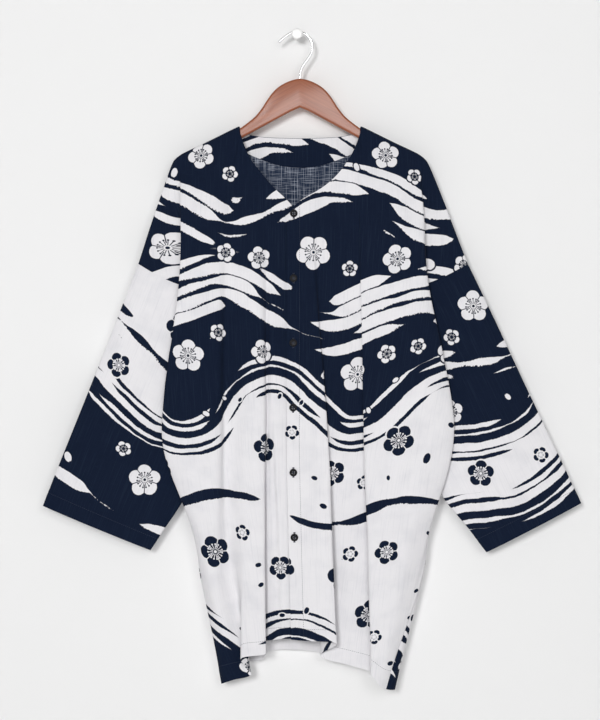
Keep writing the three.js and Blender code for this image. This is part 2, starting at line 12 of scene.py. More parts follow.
import bmesh
import bpy
import numpy as np
from mathutils import Matrix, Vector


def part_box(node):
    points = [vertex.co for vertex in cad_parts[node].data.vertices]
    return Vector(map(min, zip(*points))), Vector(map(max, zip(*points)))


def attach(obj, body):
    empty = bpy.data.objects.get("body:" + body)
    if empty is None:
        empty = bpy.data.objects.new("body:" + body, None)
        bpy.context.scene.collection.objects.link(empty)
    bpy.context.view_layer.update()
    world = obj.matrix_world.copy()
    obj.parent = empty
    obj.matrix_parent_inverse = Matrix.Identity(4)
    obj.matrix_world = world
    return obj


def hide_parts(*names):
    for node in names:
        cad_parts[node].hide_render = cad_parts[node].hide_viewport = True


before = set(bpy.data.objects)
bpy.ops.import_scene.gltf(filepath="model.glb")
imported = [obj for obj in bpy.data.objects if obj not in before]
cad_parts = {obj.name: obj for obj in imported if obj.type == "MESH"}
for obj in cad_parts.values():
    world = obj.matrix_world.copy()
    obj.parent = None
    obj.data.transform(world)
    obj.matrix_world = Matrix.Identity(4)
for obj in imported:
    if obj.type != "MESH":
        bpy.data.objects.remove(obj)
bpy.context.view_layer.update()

# %% [markdown]
# ## The cut of the shirt, as tables
# The whole garment comes from short tables in millimetres. "s" is the distance from the shirt's
# centre line towards a panel's own side. Each row is a guide line that runs from the top edge of a
# panel to its hem, and says where that line is at the chest, waist, hip and hem. Smooth curves
# through the tables give any point of the cloth, so the grid can be as fine as the looks need.

# %% Main sizes of the shirt
MM = 0.001
CENTRE_X = 4.5  # the hanger's middle is beside the peg
HANG_Y = -28.0
SEAM_Y = -31.0
NECK_S = 92.0
NECK_Z = -139.5
TIP_S = 189.0
SHOULDER_SLOPE = 0.487
SOLID_WALL = 1.2  # cloth wall of the solid model
CLOTH = 0.5  # real cloth, with its nap
TURNED = 0.5  # how far a doubled edge stands out
CHEST_Z, WAIST_Z, HIP_Z = -330.0, -595.0, -760.0
LEVELS = np.array([0, 0.02, 0.045, 0.27, 0.55, 0.78, 1.0])  # top, crown, brow, chest, waist, hip, hem
CHEST_SHARE = LEVELS[3]
HEM_SHARE = 0.028
ARMHOLE_Y = -32.0
ARMHOLE_HALF_DEPTH = 7.5
ARMHOLE_SAG = 6.0
FOLD_HALF_GAP = 1.0
OVERLAP_LIFT = 2.8  # how far the upper front's neck edge stands off the lower one
OVERLAP_FROM, OVERLAP_OVER = 50.0, 40.0  # where that lift starts, and the width it grows over
BODY_LENGTH, SLEEVE_LENGTH = 840.0, 392.0

# %% Tables of edges and guide lines
# s, y and z of the front neckline, from the button edge up to the neck point. The right front
# lies underneath and drops steeply at its end.
FRONT_NECK_UPPER = [
    [60, -46, -208], [75, -44, -188], [85, -40.5, -163], [89.5, -37.4, -151], [91.2, -36, -143],
    [NECK_S, SEAM_Y, NECK_Z],
]
FRONT_NECK = {
    "right": [[-8, -51.2, -286], [18, -50, -253], [38, -48.2, -234], *FRONT_NECK_UPPER],
    "left": [
        [-20, -51.5, -272], [2, -51, -251.5], [24, -49.4, -238.5], [40, -48, -227.5],
        *FRONT_NECK_UPPER,
    ],
}
# s, y and z of the back neckline, from the middle to the neck point
BACK_NECK = [
    [0, -16, -155], [40, -16.2, -154], [70, -16.8, -151.5], [84, -17.8, -149],
    [89, -19, -146], [90.6, -20.8, -143], [91.4, -23.4, -140.9], [NECK_S, SEAM_Y, NECK_Z],
]
# share, s and z of the fold along the top of the arm, from the hanger's end to the armhole
CREASE = {
    "right": [[0, TIP_S, -190], [0.12, 198, -206], [0.35, 208, -240], [0.7, 226, -293], [1, 243, -346]],
    "left": [[0, TIP_S, -190], [0.12, 199, -207], [0.35, 212, -242], [0.7, 231, -292], [1, 252, -346]],
}
UNDERARM = {"right": (151, -385), "left": (152, -385)}

# guide, s at the top edge (a share of the arm fold for the last four), then s and y at the chest,
# waist and hip, and s, y and z at the hem
FRONT_RIGHT = [
    ["edge", -8, -8, -49.5, -8, -53, -8, -55, -10, -56, -907],
    ["bed", 18, 18, -49.5, 17, -53, 14, -55, 12, -56, -906],
    ["crease", 38, 42, -50.5, 40, -55, 34, -54, 31, -53, -907],
    ["return", 50, 50, -49.5, 50, -47, 60, -43, 67, -39, -916],
    ["pleatEdge", 62, 60, -52, 55, -58, 53, -62, 52, -64, -927],
    ["pleatSide", 76, 82, -52.5, 79, -58, 82, -61, 88, -60, -935],
    ["hollow", 89.5, 108, -51, 111, -49, 107, -47.5, 73, -44, -961],
    ["rib", NECK_S, 124, -55, 125, -60, 126, -58, 100, -47, -969],
    ["front", 140, 158, -57, 175, -61, 144, -56.5, 111, -45, -973],
    ["foldEdge", 180, 178, -55, 206, -51, 156, -46, 117, -39, -976],
    ["tuck", 0, 166, -43, 178, -42, 157, -39, 117.5, -36, -976],
    ["lobeUpper", 0.35, 160, -40, 163, -39, 156, -36.4, 117, -35, -975.6],
    ["lobeLower", 0.7, 155, -37, 148, -36, 154, -34.2, 116.5, -33.9, -975.3],
    ["side", 1, 151, -34, 132, -33.4, 151, -32.6, 116, -32.9, -975],
]
FRONT_LEFT = [
    ["edge", -20, -20, -53.5, -20, -57, -17, -59, -13, -60, -906.5],
    ["stitch", 2, 1, -54, 2, -58, 4, -61, 7, -63, -908],
    ["pleatEdge", 24, 18, -56, 39, -62, 46.5, -66, 54, -67, -911.5],
    ["return", 36, 28, -53, 36, -49, 36, -43, 30, -38, -935],
    ["flat", 58, 58, -52.5, 66, -49, 73, -45, 73, -40, -948],
    ["under", 80, 90, -53, 103, -48, 111, -44, 118, -41, -961],
    ["stepEdge", 89.5, 91, -56, 96, -57.5, 101, -58.5, 106, -57, -959],
    ["neck", NECK_S, 116, -57.5, 130, -62, 125, -62, 112, -60, -967],
    ["front", 140, 152, -59, 190, -65, 160, -61, 117.5, -58.5, -975],
    ["foldEdge", 180, 184, -57, 229, -53, 187, -48, 122, -56.5, -979],
    ["tuck", 0, 170, -46, 200, -44, 190, -41, 124, -55.5, -980],
    ["lobeUpper", 0.35, 164, -42.5, 180, -41, 190.5, -38.5, 125, -54.8, -980.5],
    ["lobeLower", 0.7, 158, -39, 165, -38, 190, -35.8, 126, -54.2, -981],
    ["side", 1, 152, -34.4, 150, -34, 189.5, -33.2, 126.8, -53.6, -981],
]
BACK_RIGHT = [
    ["centre", 0, 0, -14, 0, -13, 0, -17, 0, -20, -928],
    ["rib", 28, 30, -12, 34, -8.5, 38, -10, 43, -11, -931],
    ["hollow", 54, 58, -15, 66, -18, 68, -22, 59, -24, -943],
    ["ridge", 88.5, 90, -13, 104, -9, 98, -10, 85, -9, -949],
    ["collar", 90.9, 105, -14, 119, -11, 109, -13, 95, -13, -957],
    ["nape", NECK_S, 120, -15, 134, -17, 118, -18, 102, -18, -964],
    ["blade", 140, 154, -13, 174, -9, 140, -12, 110, -15, -971],
    ["foldEdge", 180, 175, -13, 202, -13, 152, -18, 114.5, -22, -975],
    ["tuck", 0, 165, -20, 176, -21, 155, -23.5, 116.5, -26, -975.5],
    ["lobeUpper", 0.35, 160, -24, 161, -24.5, 155, -26.5, 117, -28.5, -975.5],
    ["lobeLower", 0.7, 155, -27, 146, -28, 153.5, -29, 116.7, -29, -975.3],
    ["side", 1, 151, -29.8, 132, -30.8, 151, -30.6, 116, -30.2, -975],
]
BACK_LEFT = [
    ["centre", 0, 0, -14, 0, -13, 0, -17, 0, -20, -928],
    ["rib", 28, 32, -12, 38, -9, 36, -9, 30, -11, -934.5],
    ["hollow", 54, 60, -15, 74, -18, 74, -22, 58, -24, -939],
    ["ridge", 88.5, 92, -13, 112, -9, 112, -9, 93, -9, -951],
    ["collar", 90.9, 107, -14, 130, -11.5, 126, -12, 105, -12.5, -961],
    ["nape", NECK_S, 122, -15, 148, -17, 140, -18, 116, -18, -969],
    ["blade", 140, 158, -13, 195, -9, 166, -11, 130, -16, -979],
    ["foldEdge", 180, 180, -13, 225, -13, 186, -17, 139, -25, -984],
    ["tuck", 0, 169, -20, 198, -21, 190.5, -23.5, 141.5, -36, -984.5],
    ["lobeUpper", 0.35, 163, -24, 180, -24.5, 191.5, -26.5, 139.5, -45, -984],
    ["lobeLower", 0.7, 157, -27, 165, -28, 191, -29.5, 134, -51, -983],
    ["side", 1, 152, -29.8, 150, -30.8, 189.5, -31.4, 128.8, -53.3, -982],
]
CREASE_GUIDES = 4

# share, s and z of the outer fold, s and z of the underarm edge, half depth
SLEEVE = {
    "right": [
        [0, 243, -346, 151, -385, 7.5], [0.25, 278, -437, 147, -500, 7.5],
        [0.5, 314, -528, 151, -610, 8], [0.75, 350, -618, 170, -688, 9],
        [0.9, 372, -673, 205, -745, 9], [1, 386, -710, 226, -776, 8],
    ],
    "left": [
        [0, 252, -346, 152, -385, 7.5], [0.25, 295, -436, 162, -495, 7.5],
        [0.5, 337, -526, 176, -604, 8], [0.75, 380, -616, 212, -691, 9],
        [0.9, 405, -669, 254, -744, 9], [1, 422, -706, 281, -779, 8],
    ],
}
HELD_SHARE = 0.2  # the armhole's own curve dies out over this share of the sleeve

# y at the crown and brow of the hanger, and how far each lies below the shoulder
OVER_HANGER = {-1: (-34.6, 2.2, -36.9, 9), 1: (-22.9, 0.8, -19.2, 9)}


# %% Curves through the tables
def slopes(knots, values, firm):
    """Slope at each knot: free (Catmull-Rom) where firm is 0, without overshoot where it is 1."""
    rise = np.diff(values, axis=0) / np.diff(knots)[:, None]
    free = (values[2:] - values[:-2]) / (knots[2:] - knots[:-2])[:, None]
    before, after = rise[:-1], rise[1:]
    same_way = before * after > 0
    kept = np.where(same_way, 2 * before * after / np.where(same_way, before + after, 1), 0)
    return np.vstack([rise[:1], free + (kept - free) * firm, rise[-1:]])


def curve(knots, values, t, firm=1.0):
    """Smooth curve through values at knots, read at every t."""
    knots, t = np.asarray(knots, float), np.atleast_1d(np.asarray(t, float))
    values = np.asarray(values, float).reshape(len(knots), -1)
    i = np.clip(np.searchsorted(knots, t, side="left") - 1, 0, len(knots) - 2)
    h = (knots[i + 1] - knots[i])[:, None]
    x = np.clip((t - knots[i])[:, None] / h, 0, 1)
    m = slopes(knots, values, firm)
    return (
        values[i] * (2 * x**3 - 3 * x**2 + 1)
        + m[i] * h * (x**3 - 2 * x**2 + x)
        + values[i + 1] * (3 * x**2 - 2 * x**3)
        + m[i + 1] * h * (x**3 - x**2)
    )


def lerp(a, b, t):
    return a + (b - a) * t


def smoothstep(low, high, x):
    t = np.clip((x - low) / (high - low), 0, 1)
    return t * t * (3 - 2 * t)


# %% Meshes and objects
def join_rings(build, rings):
    """Faces between each ring of vertices and the next, all the way round."""
    count = len(rings[0])
    for low, high in zip(rings, rings[1:]):
        for n in range(count):
            after = (n + 1) % count
            build.faces.new([low[n], low[after], high[after], high[n]])


def finished(build, name, smooth=True):
    """The mesh of what was built, with its faces turned outward."""
    bmesh.ops.recalc_face_normals(build, faces=build.faces)
    mesh = bpy.data.meshes.new(name)
    build.to_mesh(mesh)
    build.free()
    if smooth:
        mesh.shade_smooth()
    return mesh


def keep_edges(mesh, degrees):
    """Smooth shading that still breaks at edges sharper than an angle."""
    mesh.shade_smooth()
    mesh.set_sharp_from_angle(angle=math.radians(degrees))


def add_object(name, data):
    thing = bpy.data.objects.new(name, data)
    bpy.context.scene.collection.objects.link(thing)
    return thing


def run_along(points):
    """Distance from a path's start to each of its points."""
    return np.concatenate([[0], np.cumsum(np.linalg.norm(np.diff(points, axis=0), axis=1))])


def dress(piece, node):
    """Lets a piece ride on the part and stand for its solid, which is hidden."""
    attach(piece, "root")
    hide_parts(node)


# %% [markdown]
# ## From guide lines to a cloth surface
# A panel is a sheet stretched over its guide lines: first each guide is a curve from top to hem,
# then a curve is drawn across all guides at each height. Both halves of a seam use the same line,
# so sewn edges meet. Only NumPy is needed, and a whole panel takes a fraction of a second.

# %% Points of a body panel
def armhole(side, share, face):
    """Armhole seam: share 0 at the arm fold, 1 under the arm; face -1 front, 1 back."""
    share = np.atleast_1d(share)
    _, top_s, top_z = CREASE[side][-1]
    under_s, under_z = UNDERARM[side]
    arch = np.sin(np.pi * np.clip(share, 0, 1))
    gap = FOLD_HALF_GAP * np.clip(arch / 0.15, 0, 1) + ARMHOLE_HALF_DEPTH * arch**0.8
    z = lerp(top_z, under_z, share) - ARMHOLE_SAG * arch
    return np.stack([lerp(top_s, under_s, share), ARMHOLE_Y + face * gap, z], 1)


def guide_knots(row, index, table, side, face):
    """Points (s, y, z) of one guide line at every level, from the top edge to the hem."""
    _, top_s, chest_s, chest_y, waist_s, waist_y, hip_s, hip_y, hem_s, hem_y, hem_z = row
    on_crease = index - (len(table) - CREASE_GUIDES)
    shoulder = on_crease >= 0 or top_s >= NECK_S
    if on_crease >= 0:
        fold = np.array(CREASE[side], float)
        fold_s, fold_z = curve(fold[:, 0], fold[:, 1:], top_s)[0]
        top = [fold_s, lerp(SEAM_Y, ARMHOLE_Y, on_crease / (CREASE_GUIDES - 1)), fold_z]
    elif shoulder:
        top = [top_s, SEAM_Y, NECK_Z - (top_s - NECK_S) * SHOULDER_SLOPE]
    else:
        neck = np.array(FRONT_NECK[side] if face < 0 else BACK_NECK, float)
        near_edge = np.clip((OVERLAP_FROM - top_s) / OVERLAP_OVER, 0, 1)
        lift = OVERLAP_LIFT * near_edge if table is FRONT_LEFT else 0
        neck_y, neck_z = curve(neck[:, 0], neck[:, 1:], top_s)[0]
        top = [top_s, neck_y - lift, neck_z]
    away = 0.35 if on_crease > 0 else 1  # the arm's fold follows the hanger less
    over_crown_y, crown_drop, over_brow_y, brow_drop = OVER_HANGER[face]
    if shoulder:
        crown_y, brow_y = lerp(top[1], over_crown_y, away), lerp(top[1], over_brow_y, away)
    else:
        crown_y = top[1] + face * 0.1
        brow_y = min(top[1] - 0.6, over_brow_y) if face < 0 else max(top[1], over_brow_y)
    crown = [lerp(top[0], chest_s, 0.02), crown_y, top[2] - (crown_drop * away if shoulder else 4)]
    brow = [lerp(top[0], chest_s, 0.05), brow_y, top[2] - brow_drop]
    underarm = np.clip(on_crease / (CREASE_GUIDES - 1), 0, 1)
    chest_z = lerp(CHEST_Z - 4, UNDERARM[side][1], underarm) if on_crease >= 0 else CHEST_Z
    return [
        top, crown, brow, [chest_s, chest_y, chest_z], [waist_s, waist_y, WAIST_Z],
        [hip_s, hip_y, HIP_Z], [hem_s, hem_y, hem_z],
    ]


def sew_sides(front, back):
    """Gives both panels the same side seam, half way between their own."""
    seam = [(a + b) / 2 for a, b in zip(front[-1][2:], back[-1][2:])]
    front[-1][2:] = seam
    back[-1][2:] = seam


def half_panel(table, side, face, across, down):
    """Points (s, y, z) of half a panel, for guide numbers across and shares down."""
    knots = np.array([guide_knots(row, i, table, side, face) for i, row in enumerate(table)], float)
    count = len(table)
    lines = curve(LEVELS, knots.transpose(1, 0, 2).reshape(len(LEVELS), -1), down)
    lines = lines.reshape(len(down), count, 3)
    upper = down < CHEST_SHARE
    lines[upper, -1] = armhole(side, down[upper] / CHEST_SHARE, face)
    firm = 1 - np.clip(down / CHEST_SHARE, 0, 1)
    numbers = np.arange(count)
    return np.stack([curve(numbers, lines[j], across, firm[j]) for j in range(len(down))], 1)


sew_sides(FRONT_RIGHT, BACK_RIGHT)
sew_sides(FRONT_LEFT, BACK_LEFT)

# Rows of the grid are closest over the hanger and at the hem.
DOWN = np.concatenate([
    np.linspace(0, 0.045, 12, endpoint=False),
    np.linspace(0.045, 0.27, 44, endpoint=False),
    np.linspace(0.27, 0.955, 108, endpoint=False),
    np.linspace(0.955, 1, 20),
])
PER_GUIDE = 9


def to_world(points, side):
    """Metres in the frame, from s, y and z in millimetres."""
    world = points * MM
    world[..., 0] = (CENTRE_X * MM) + (points[..., 0] if side == "left" else -points[..., 0]) * MM
    return world


def across_guides(table):
    last = len(table) - 1
    return np.linspace(0, last, last * PER_GUIDE + 1)


front_points = {
    side: half_panel(table, side, -1, across_guides(table), DOWN)
    for side, table in (("right", FRONT_RIGHT), ("left", FRONT_LEFT))
}
print("front panels:", [grid.shape[:2] for grid in front_points.values()], "points")


# %% Points of the back, which is cut in one piece
def back_panel():
    across = across_guides(BACK_RIGHT)
    right = half_panel(BACK_RIGHT, "right", 1, across, DOWN)
    left = half_panel(BACK_LEFT, "left", 1, across, DOWN)
    right[..., 0] *= -1
    return np.concatenate([right[:0:-1], left])


back_points = back_panel()
print("back:", back_points.shape[:2], "points")

# %% Points of the sleeves
SLEEVE_DOWN = np.concatenate([
    np.linspace(0, 0.06, 10, endpoint=False), np.linspace(0.06, 0.925, 78, endpoint=False),
    np.linspace(0.925, 1, 16),
])
SLEEVE_TURNS = np.linspace(-0.5, 0.5, 121)  # from under the arm, round the back, fold and front


def sleeve_points(side):
    """Points (s, y, z) of a sleeve, opened along its underarm seam."""
    table = np.array(SLEEVE[side], float)
    stations = curve(table[:, 0], table[:, 1:], SLEEVE_DOWN)
    start = stations[0]
    grid = np.empty((len(SLEEVE_TURNS), len(SLEEVE_DOWN), 3))
    for i, turn in enumerate(SLEEVE_TURNS):
        angle = turn * 2 * np.pi
        across = (1 - np.cos(angle)) / 2
        face = -1 if np.sin(angle) >= 0 else 1
        lens = abs(np.sin(angle))
        gap = FOLD_HALF_GAP * min(1, lens / 0.12)

        def free(row):
            """The sleeve's own form, before it is held to the armhole."""
            outer_s, outer_z, inner_s, inner_z, depth = row.T
            y = ARMHOLE_Y + face * (gap + depth * lens**1.1)
            return np.stack([lerp(outer_s, inner_s, across), y, lerp(outer_z, inner_z, across)], -1)

        held = (1 - np.clip(SLEEVE_DOWN / HELD_SHARE, 0, 1))[:, None]
        seam = armhole(side, across, face)[0]
        grid[i] = free(stations) + held * (seam - free(start))
    return grid


sleeves = {side: sleeve_points(side) for side in ("right", "left")}
print("sleeves:", sleeves["left"].shape[:2], "points each")

# %% [markdown]
# ## Small creases
# Long folds come from the cut, but real cotton also keeps small creases: drag lines from the
# shoulder and underarm, dents across a sleeve, a slight wave along each sewn edge. Each is one row
# of a table, and moves the cloth in or out along its own direction. A crease is soft across its
# width and fades at both ends. No two are alike in length, depth or spacing.

# %% Crease tables
# s and z where the crease starts, s and z where it ends, half width and height (negative: trough)
FRONT_CREASES = {
    "right": [
        [146, -775, 88, -848, 9, -2.2], [150, -800, 100, -900, 8, 1.4], [140, -700, 128, -790, 10, -1.2],
        [176, -196, 196, -258, 9, -3.0], [160, -188, 168, -300, 12, 2.0], [188, -230, 170, -330, 9, -1.8],
        [120, -170, 138, -330, 14, 1.4], [146, -380, 196, -470, 12, -1.6], [150, -400, 150, -560, 14, 1.5],
        [104, -330, 96, -470, 11, -1.2], [70, -250, 62, -420, 9, 1.1], [30, -300, 26, -520, 10, -0.9],
        [190, -520, 160, -640, 12, 1.3], [182, -470, 150, -500, 9, -0.9], [112, -880, 104, -950, 6, 1.0],
        [66, -600, 72, -800, 8, 0.9], [95, -520, 98, -700, 7, -0.8], [210, -300, 232, -345, 8, -1.1],
        [43, -560, 30, -900, 3.2, -2.4], [38, -590, 25, -900, 3.6, 1.6], [34, -700, 22, -905, 3.0, -1.0],
    ],
    "left": [
        [150, -760, 96, -830, 11, 1.3], [176, -196, 190, -250, 9, -2.4], [184, -230, 180, -420, 9, 2.0],
        [168, -220, 164, -400, 9, -1.6], [120, -170, 132, -330, 13, 1.3], [206, -560, 168, -640, 12, -1.4],
        [142, -700, 140, -850, 13, -1.3], [110, -560, 112, -760, 9, 0.9], [70, -330, 82, -520, 12, -1.0],
        [54, -560, 58, -760, 10, 0.9], [20, -330, 16, -520, 8, 0.8], [170, -400, 214, -480, 11, 1.3],
        [215, -300, 240, -345, 8, -1.0], [100, -250, 120, -360, 10, 1.0], [64, -240, 50, -330, 8, -0.8],
        [150, -870, 122, -950, 8, 1.2], [86, -800, 88, -930, 7, 0.9],
    ],
}
BACK_CREASES = [
    [-150, -200, -168, -320, 12, 2.0], [150, -200, 170, -330, 12, -1.8], [-60, -180, -52, -420, 14, 1.4],
    [64, -190, 58, -400, 15, -1.2], [-140, -430, -188, -560, 13, -1.6], [150, -430, 204, -580, 13, 1.6],
    [-20, -420, -14, -700, 10, -0.9], [14, -520, 22, -820, 9, 0.9], [-96, -560, -84, -800, 9, 1.0],
    [100, -560, 108, -820, 10, -1.1], [-150, -740, -108, -850, 10, -1.3], [170, -760, 132, -880, 10, 1.5],
    [-188, -250, -222, -345, 10, 1.3], [190, -250, 232, -345, 10, -1.2], [-50, -860, -54, -930, 7, 1.0],
    [80, -870, 76, -940, 7, -0.9],
]
SLEEVE_CREASES = {
    "right": [
        [232, -372, 330, -610, 12, 1.6], [200, -400, 240, -560, 12, -1.5], [160, -420, 210, -520, 9, 1.2],
        [158, -480, 240, -600, 9, -1.3], [240, -440, 300, -590, 9, -1.0], [260, -640, 352, -640, 9, 0.9],
        [300, -690, 352, -655, 10, -1.0], [220, -640, 330, -735, 11, 0.9], [176, -560, 232, -690, 10, 1.1],
    ],
    "left": [
        [238, -372, 350, -600, 12, 1.5], [204, -400, 258, -560, 12, -1.6], [164, -420, 222, -520, 9, 1.2],
        [170, -480, 262, -600, 9, -1.4], [262, -440, 330, -590, 9, -1.0], [300, -640, 392, -640, 9, 0.9],
        [330, -700, 390, -660, 10, -1.0], [262, -650, 372, -735, 11, 0.9], [196, -560, 262, -690, 10, 1.1],
    ],
}


# %% How a crease moves the cloth
def crease_heights(s, z, creases):
    """Sum of all creases at points (s, z), in millimetres."""
    height = np.zeros_like(s)
    for s0, z0, s1, z1, width, rise in creases:
        length2 = (s1 - s0) ** 2 + (z1 - z0) ** 2
        along = ((s - s0) * (s1 - s0) + (z - z0) * (z1 - z0)) / length2
        near = np.clip(along, 0, 1)
        away2 = (s - lerp(s0, s1, near)) ** 2 + (z - lerp(z0, z1, near)) ** 2
        fade = np.sin(np.pi * np.clip(along * 0.9 + 0.05, 0, 1)) ** 0.7
        height += rise * fade * np.exp(-away2 / width**2)
    return height


# radians per mm along s and along z, phase and height in mm
WAVES = [
    (0.021, 0.013, 0.9, 0.34), (0.043, -0.017, 2.3, 0.24), (0.012, 0.041, 4.1, 0.2),
    (0.083, 0.031, 1.2, 0.12), (-0.061, 0.072, 5.2, 0.1),
]


def rumple(s, z, seed):
    """A slow, uneven wave over the whole cloth, at most about 1 mm high."""
    return sum(
        height * np.sin(a * s + b * z + phase + seed * (1 + n))
        for n, (a, b, phase, height) in enumerate(WAVES)
    )


def grid_normals(points, outward):
    """Unit normals of a grid, turned so that the middle one looks along outward."""
    along = np.gradient(points, axis=0)
    down = np.gradient(points, axis=1)
    normal = np.cross(along, down)
    normal /= np.maximum(np.linalg.norm(normal, axis=-1, keepdims=True), 1e-9)
    middle = normal[points.shape[0] // 2, points.shape[1] // 2]
    return normal if np.dot(middle, outward) > 0 else -normal


def groove(distance, width, depth):
    """A soft furrow along distance 0, as a row of stitches pulls into the cloth."""
    return -depth * np.exp(-((distance / width) ** 2))


# %% [markdown]
# ## The printed design
# Such shirts carry bold prints. This one has a common traditional scheme: broad streams of running
# water flow level across a deep blue ground, which breaks into a pale skirt along rippled shores,
# and plum blossoms and loose petals drift over all of it. The design is laid out in flat cloth
# coordinates (millimetres across and up), as it would be before the cloth is cut, so it bends,
# breaks and hides in the folds by itself. Python gives every point of the cloth smooth values, such
# as its distance from a stream's middle. The shader then draws crisp brush strokes from those
# values, which stay sharp at any distance.

# %% Where the motifs lie
# Streams: each point has a place across, a place up and half the stream's width.
STREAMS = {
    "front": [
        [(-350, -246, 27), (-262, -222, 35), (-180, -250, 43), (-104, -286, 40), (-30, -262, 32),
         (44, -232, 40), (120, -250, 49), (196, -290, 46), (268, -280, 38), (350, -240, 30)],
        [(-350, -396, 35), (-268, -420, 43), (-190, -392, 51), (-110, -372, 46), (-34, -412, 40),
         (50, -440, 51), (130, -410, 54), (210, -392, 46), (280, -424, 38), (350, -452, 32)],
        [(-350, -694, 9), (-250, -712, 13), (-160, -690, 15), (-70, -700, 12), (20, -736, 9),
         (110, -732, 13), (200, -700, 15), (280, -706, 11), (350, -730, 8)],
    ],
    "back": [
        [(-350, -300, 27), (-262, -270, 38), (-180, -252, 46), (-90, -276, 49), (-10, -316, 43),
         (76, -322, 49), (160, -284, 51), (250, -262, 40), (350, -290, 30)],
        [(-350, -430, 30), (-260, -462, 40), (-170, -452, 49), (-84, -420, 46), (0, -444, 40),
         (84, -484, 46), (170, -470, 49), (260, -428, 38), (350, -420, 30)],
        [(-350, -742, 9), (-240, -724, 13), (-130, -748, 15), (-20, -770, 11), (90, -748, 13),
         (200, -726, 14), (350, -756, 9)],
    ],
    "sleeve_right": [
        [(-240, -66, 10), (-150, -84, 20), (-60, -74, 26), (30, -96, 24), (120, -124, 16),
         (240, -120, 10)],
        [(-240, -316, 12), (-150, -338, 15), (-60, -328, 17), (40, -342, 15), (130, -358, 13),
         (240, -352, 12)],
    ],
    "sleeve_left": [
        [(-240, -96, 10), (-150, -128, 20), (-60, -150, 26), (30, -144, 28), (120, -118, 20),
         (240, -110, 12)],
    ],
}
# Shores between dark and pale ground: place across, place up. Pale ground lies to the right of the
# way that a shore runs.
SHORES = {
    "front": [
        [(-360, -520), (-282, -548), (-214, -602), (-150, -596), (-92, -530), (-30, -514), (30, -560),
         (86, -600), (150, -584), (212, -520), (278, -506), (360, -540)],
        [(96, -1060), (70, -946), (24, -898), (-34, -892), (-86, -930), (-140, -936), (-190, -892),
         (-236, -884), (-300, -930), (-360, -1060)],
    ],
    "back": [
        [(-360, -600), (-270, -626), (-196, -586), (-126, -540), (-56, -566), (14, -622), (84, -610),
         (150, -556), (226, -556), (290, -600), (360, -620)],
        [(400, -1060), (310, -930), (246, -900), (190, -926), (146, -974), (100, -1060)],
    ],
    "sleeve_right": [
        [(260, -206), (190, -192), (120, -216), (50, -200), (-20, -176), (-90, -192), (-160, -216),
         (-260, -206)],
    ],
    "sleeve_left": [
        [(-260, -206), (-180, -222), (-110, -206), (-40, -222), (30, -252), (100, -246), (170, -222),
         (260, -230)],
        [(260, -322), (170, -330), (90, -352), (20, -346), (-60, -312), (-140, -300), (-260, -320)],
    ],
}
BLOSSOM, PETAL = 0, 1
# Flowers: place across, place up, radius and turn in degrees. A loose petal says that it is one,
# and every other row is a whole blossom.
FLOWERS = {
    "front": [
        [-206, -322, 25, 12], [-112, -330, 14, 70], [-240, -330, 9, 40, PETAL], [-62, -338, 17, 44],
        [20, -330, 26, 20], [70, -352, 12, 55], [152, -340, 22, 33], [196, -346, 11, 80, PETAL],
        [240, -348, 16, 8], [-150, -184, 20, 25], [-186, -206, 9, 110, PETAL], [-112, -208, 12, 5],
        [130, -184, 21, 48], [168, -212, 12, 15], [100, -196, 8, 65, PETAL], [-176, -484, 24, 60],
        [-132, -452, 13, 10], [-222, -480, 12, 30], [-60, -478, 18, 35], [96, -512, 26, 50],
        [146, -484, 14, 25], [50, -512, 10, 140, PETAL], [196, -470, 12, 75], [240, -476, 18, 40],
        [-234, -652, 17, 22], [-60, -622, 22, 48], [-20, -602, 11, 12], [74, -660, 20, 30],
        [116, -672, 11, 55], [190, -610, 23, 8], [228, -632, 10, 100, PETAL], [-166, -776, 24, 35],
        [-124, -752, 12, 66], [-204, -806, 12, 20], [-30, -800, 18, 14], [62, -812, 25, 42],
        [104, -786, 12, 70], [196, -776, 18, 28], [150, -872, 22, 55], [190, -900, 11, 5],
        [-156, -950, 17, 30], [-20, -922, 14, 60],
    ],
    "back": [
        [-120, -206, 24, 15], [-76, -222, 12, 50], [70, -240, 22, 45], [112, -222, 11, 80, PETAL],
        [-150, -350, 26, 30], [-104, -338, 13, 5], [-200, -366, 12, 70], [-30, -378, 20, 52],
        [12, -384, 10, 20, PETAL], [96, -398, 25, 10], [142, -376, 13, 36], [200, -350, 20, 62],
        [-196, -532, 20, 25], [-150, -512, 11, 40], [-40, -512, 22, 18], [120, -536, 15, 55],
        [206, -508, 18, 12], [-120, -640, 24, 40], [-76, -662, 12, 18], [40, -690, 18, 55],
        [160, -648, 24, 30], [204, -672, 11, 12], [-190, -800, 18, 48], [-60, -836, 24, 25],
        [-14, -862, 11, 5], [60, -826, 16, 36], [150, -800, 20, 60], [-130, -890, 16, 10],
        [170, -944, 14, 30],
    ],
    "sleeve_right": [
        [-110, -34, 17, 10], [-20, -26, 16, 40], [96, -60, 22, 25], [140, -84, 10, 60, PETAL],
        [-116, -146, 22, 50], [30, -150, 18, 15], [130, -300, 24, 33], [86, -268, 12, 12],
        [-70, -268, 24, 5], [-30, -236, 11, 70], [10, -310, 10, 45, PETAL],
    ],
    "sleeve_left": [
        [22, -60, 24, 30], [66, -86, 12, 55], [-70, -56, 20, 12], [-112, -84, 10, 40, PETAL],
        [120, -62, 16, 48], [-140, -170, 14, 65], [120, -186, 18, 38], [-20, -272, 22, 52],
        [24, -300, 12, 8], [120, -290, 20, 26], [-110, -256, 16, 16], [-60, -358, 14, 30],
    ],
}
# Flowers stand apart by a share of their two radii and a gap in mm.
FLOWER_SPACING, PETAL_SPACING, FLOWER_GAP, SPREAD_ROUNDS = 1.35, 1.6, 9.0, 12
PETAL_COUNT, PETAL_TRIES = 60, 1500
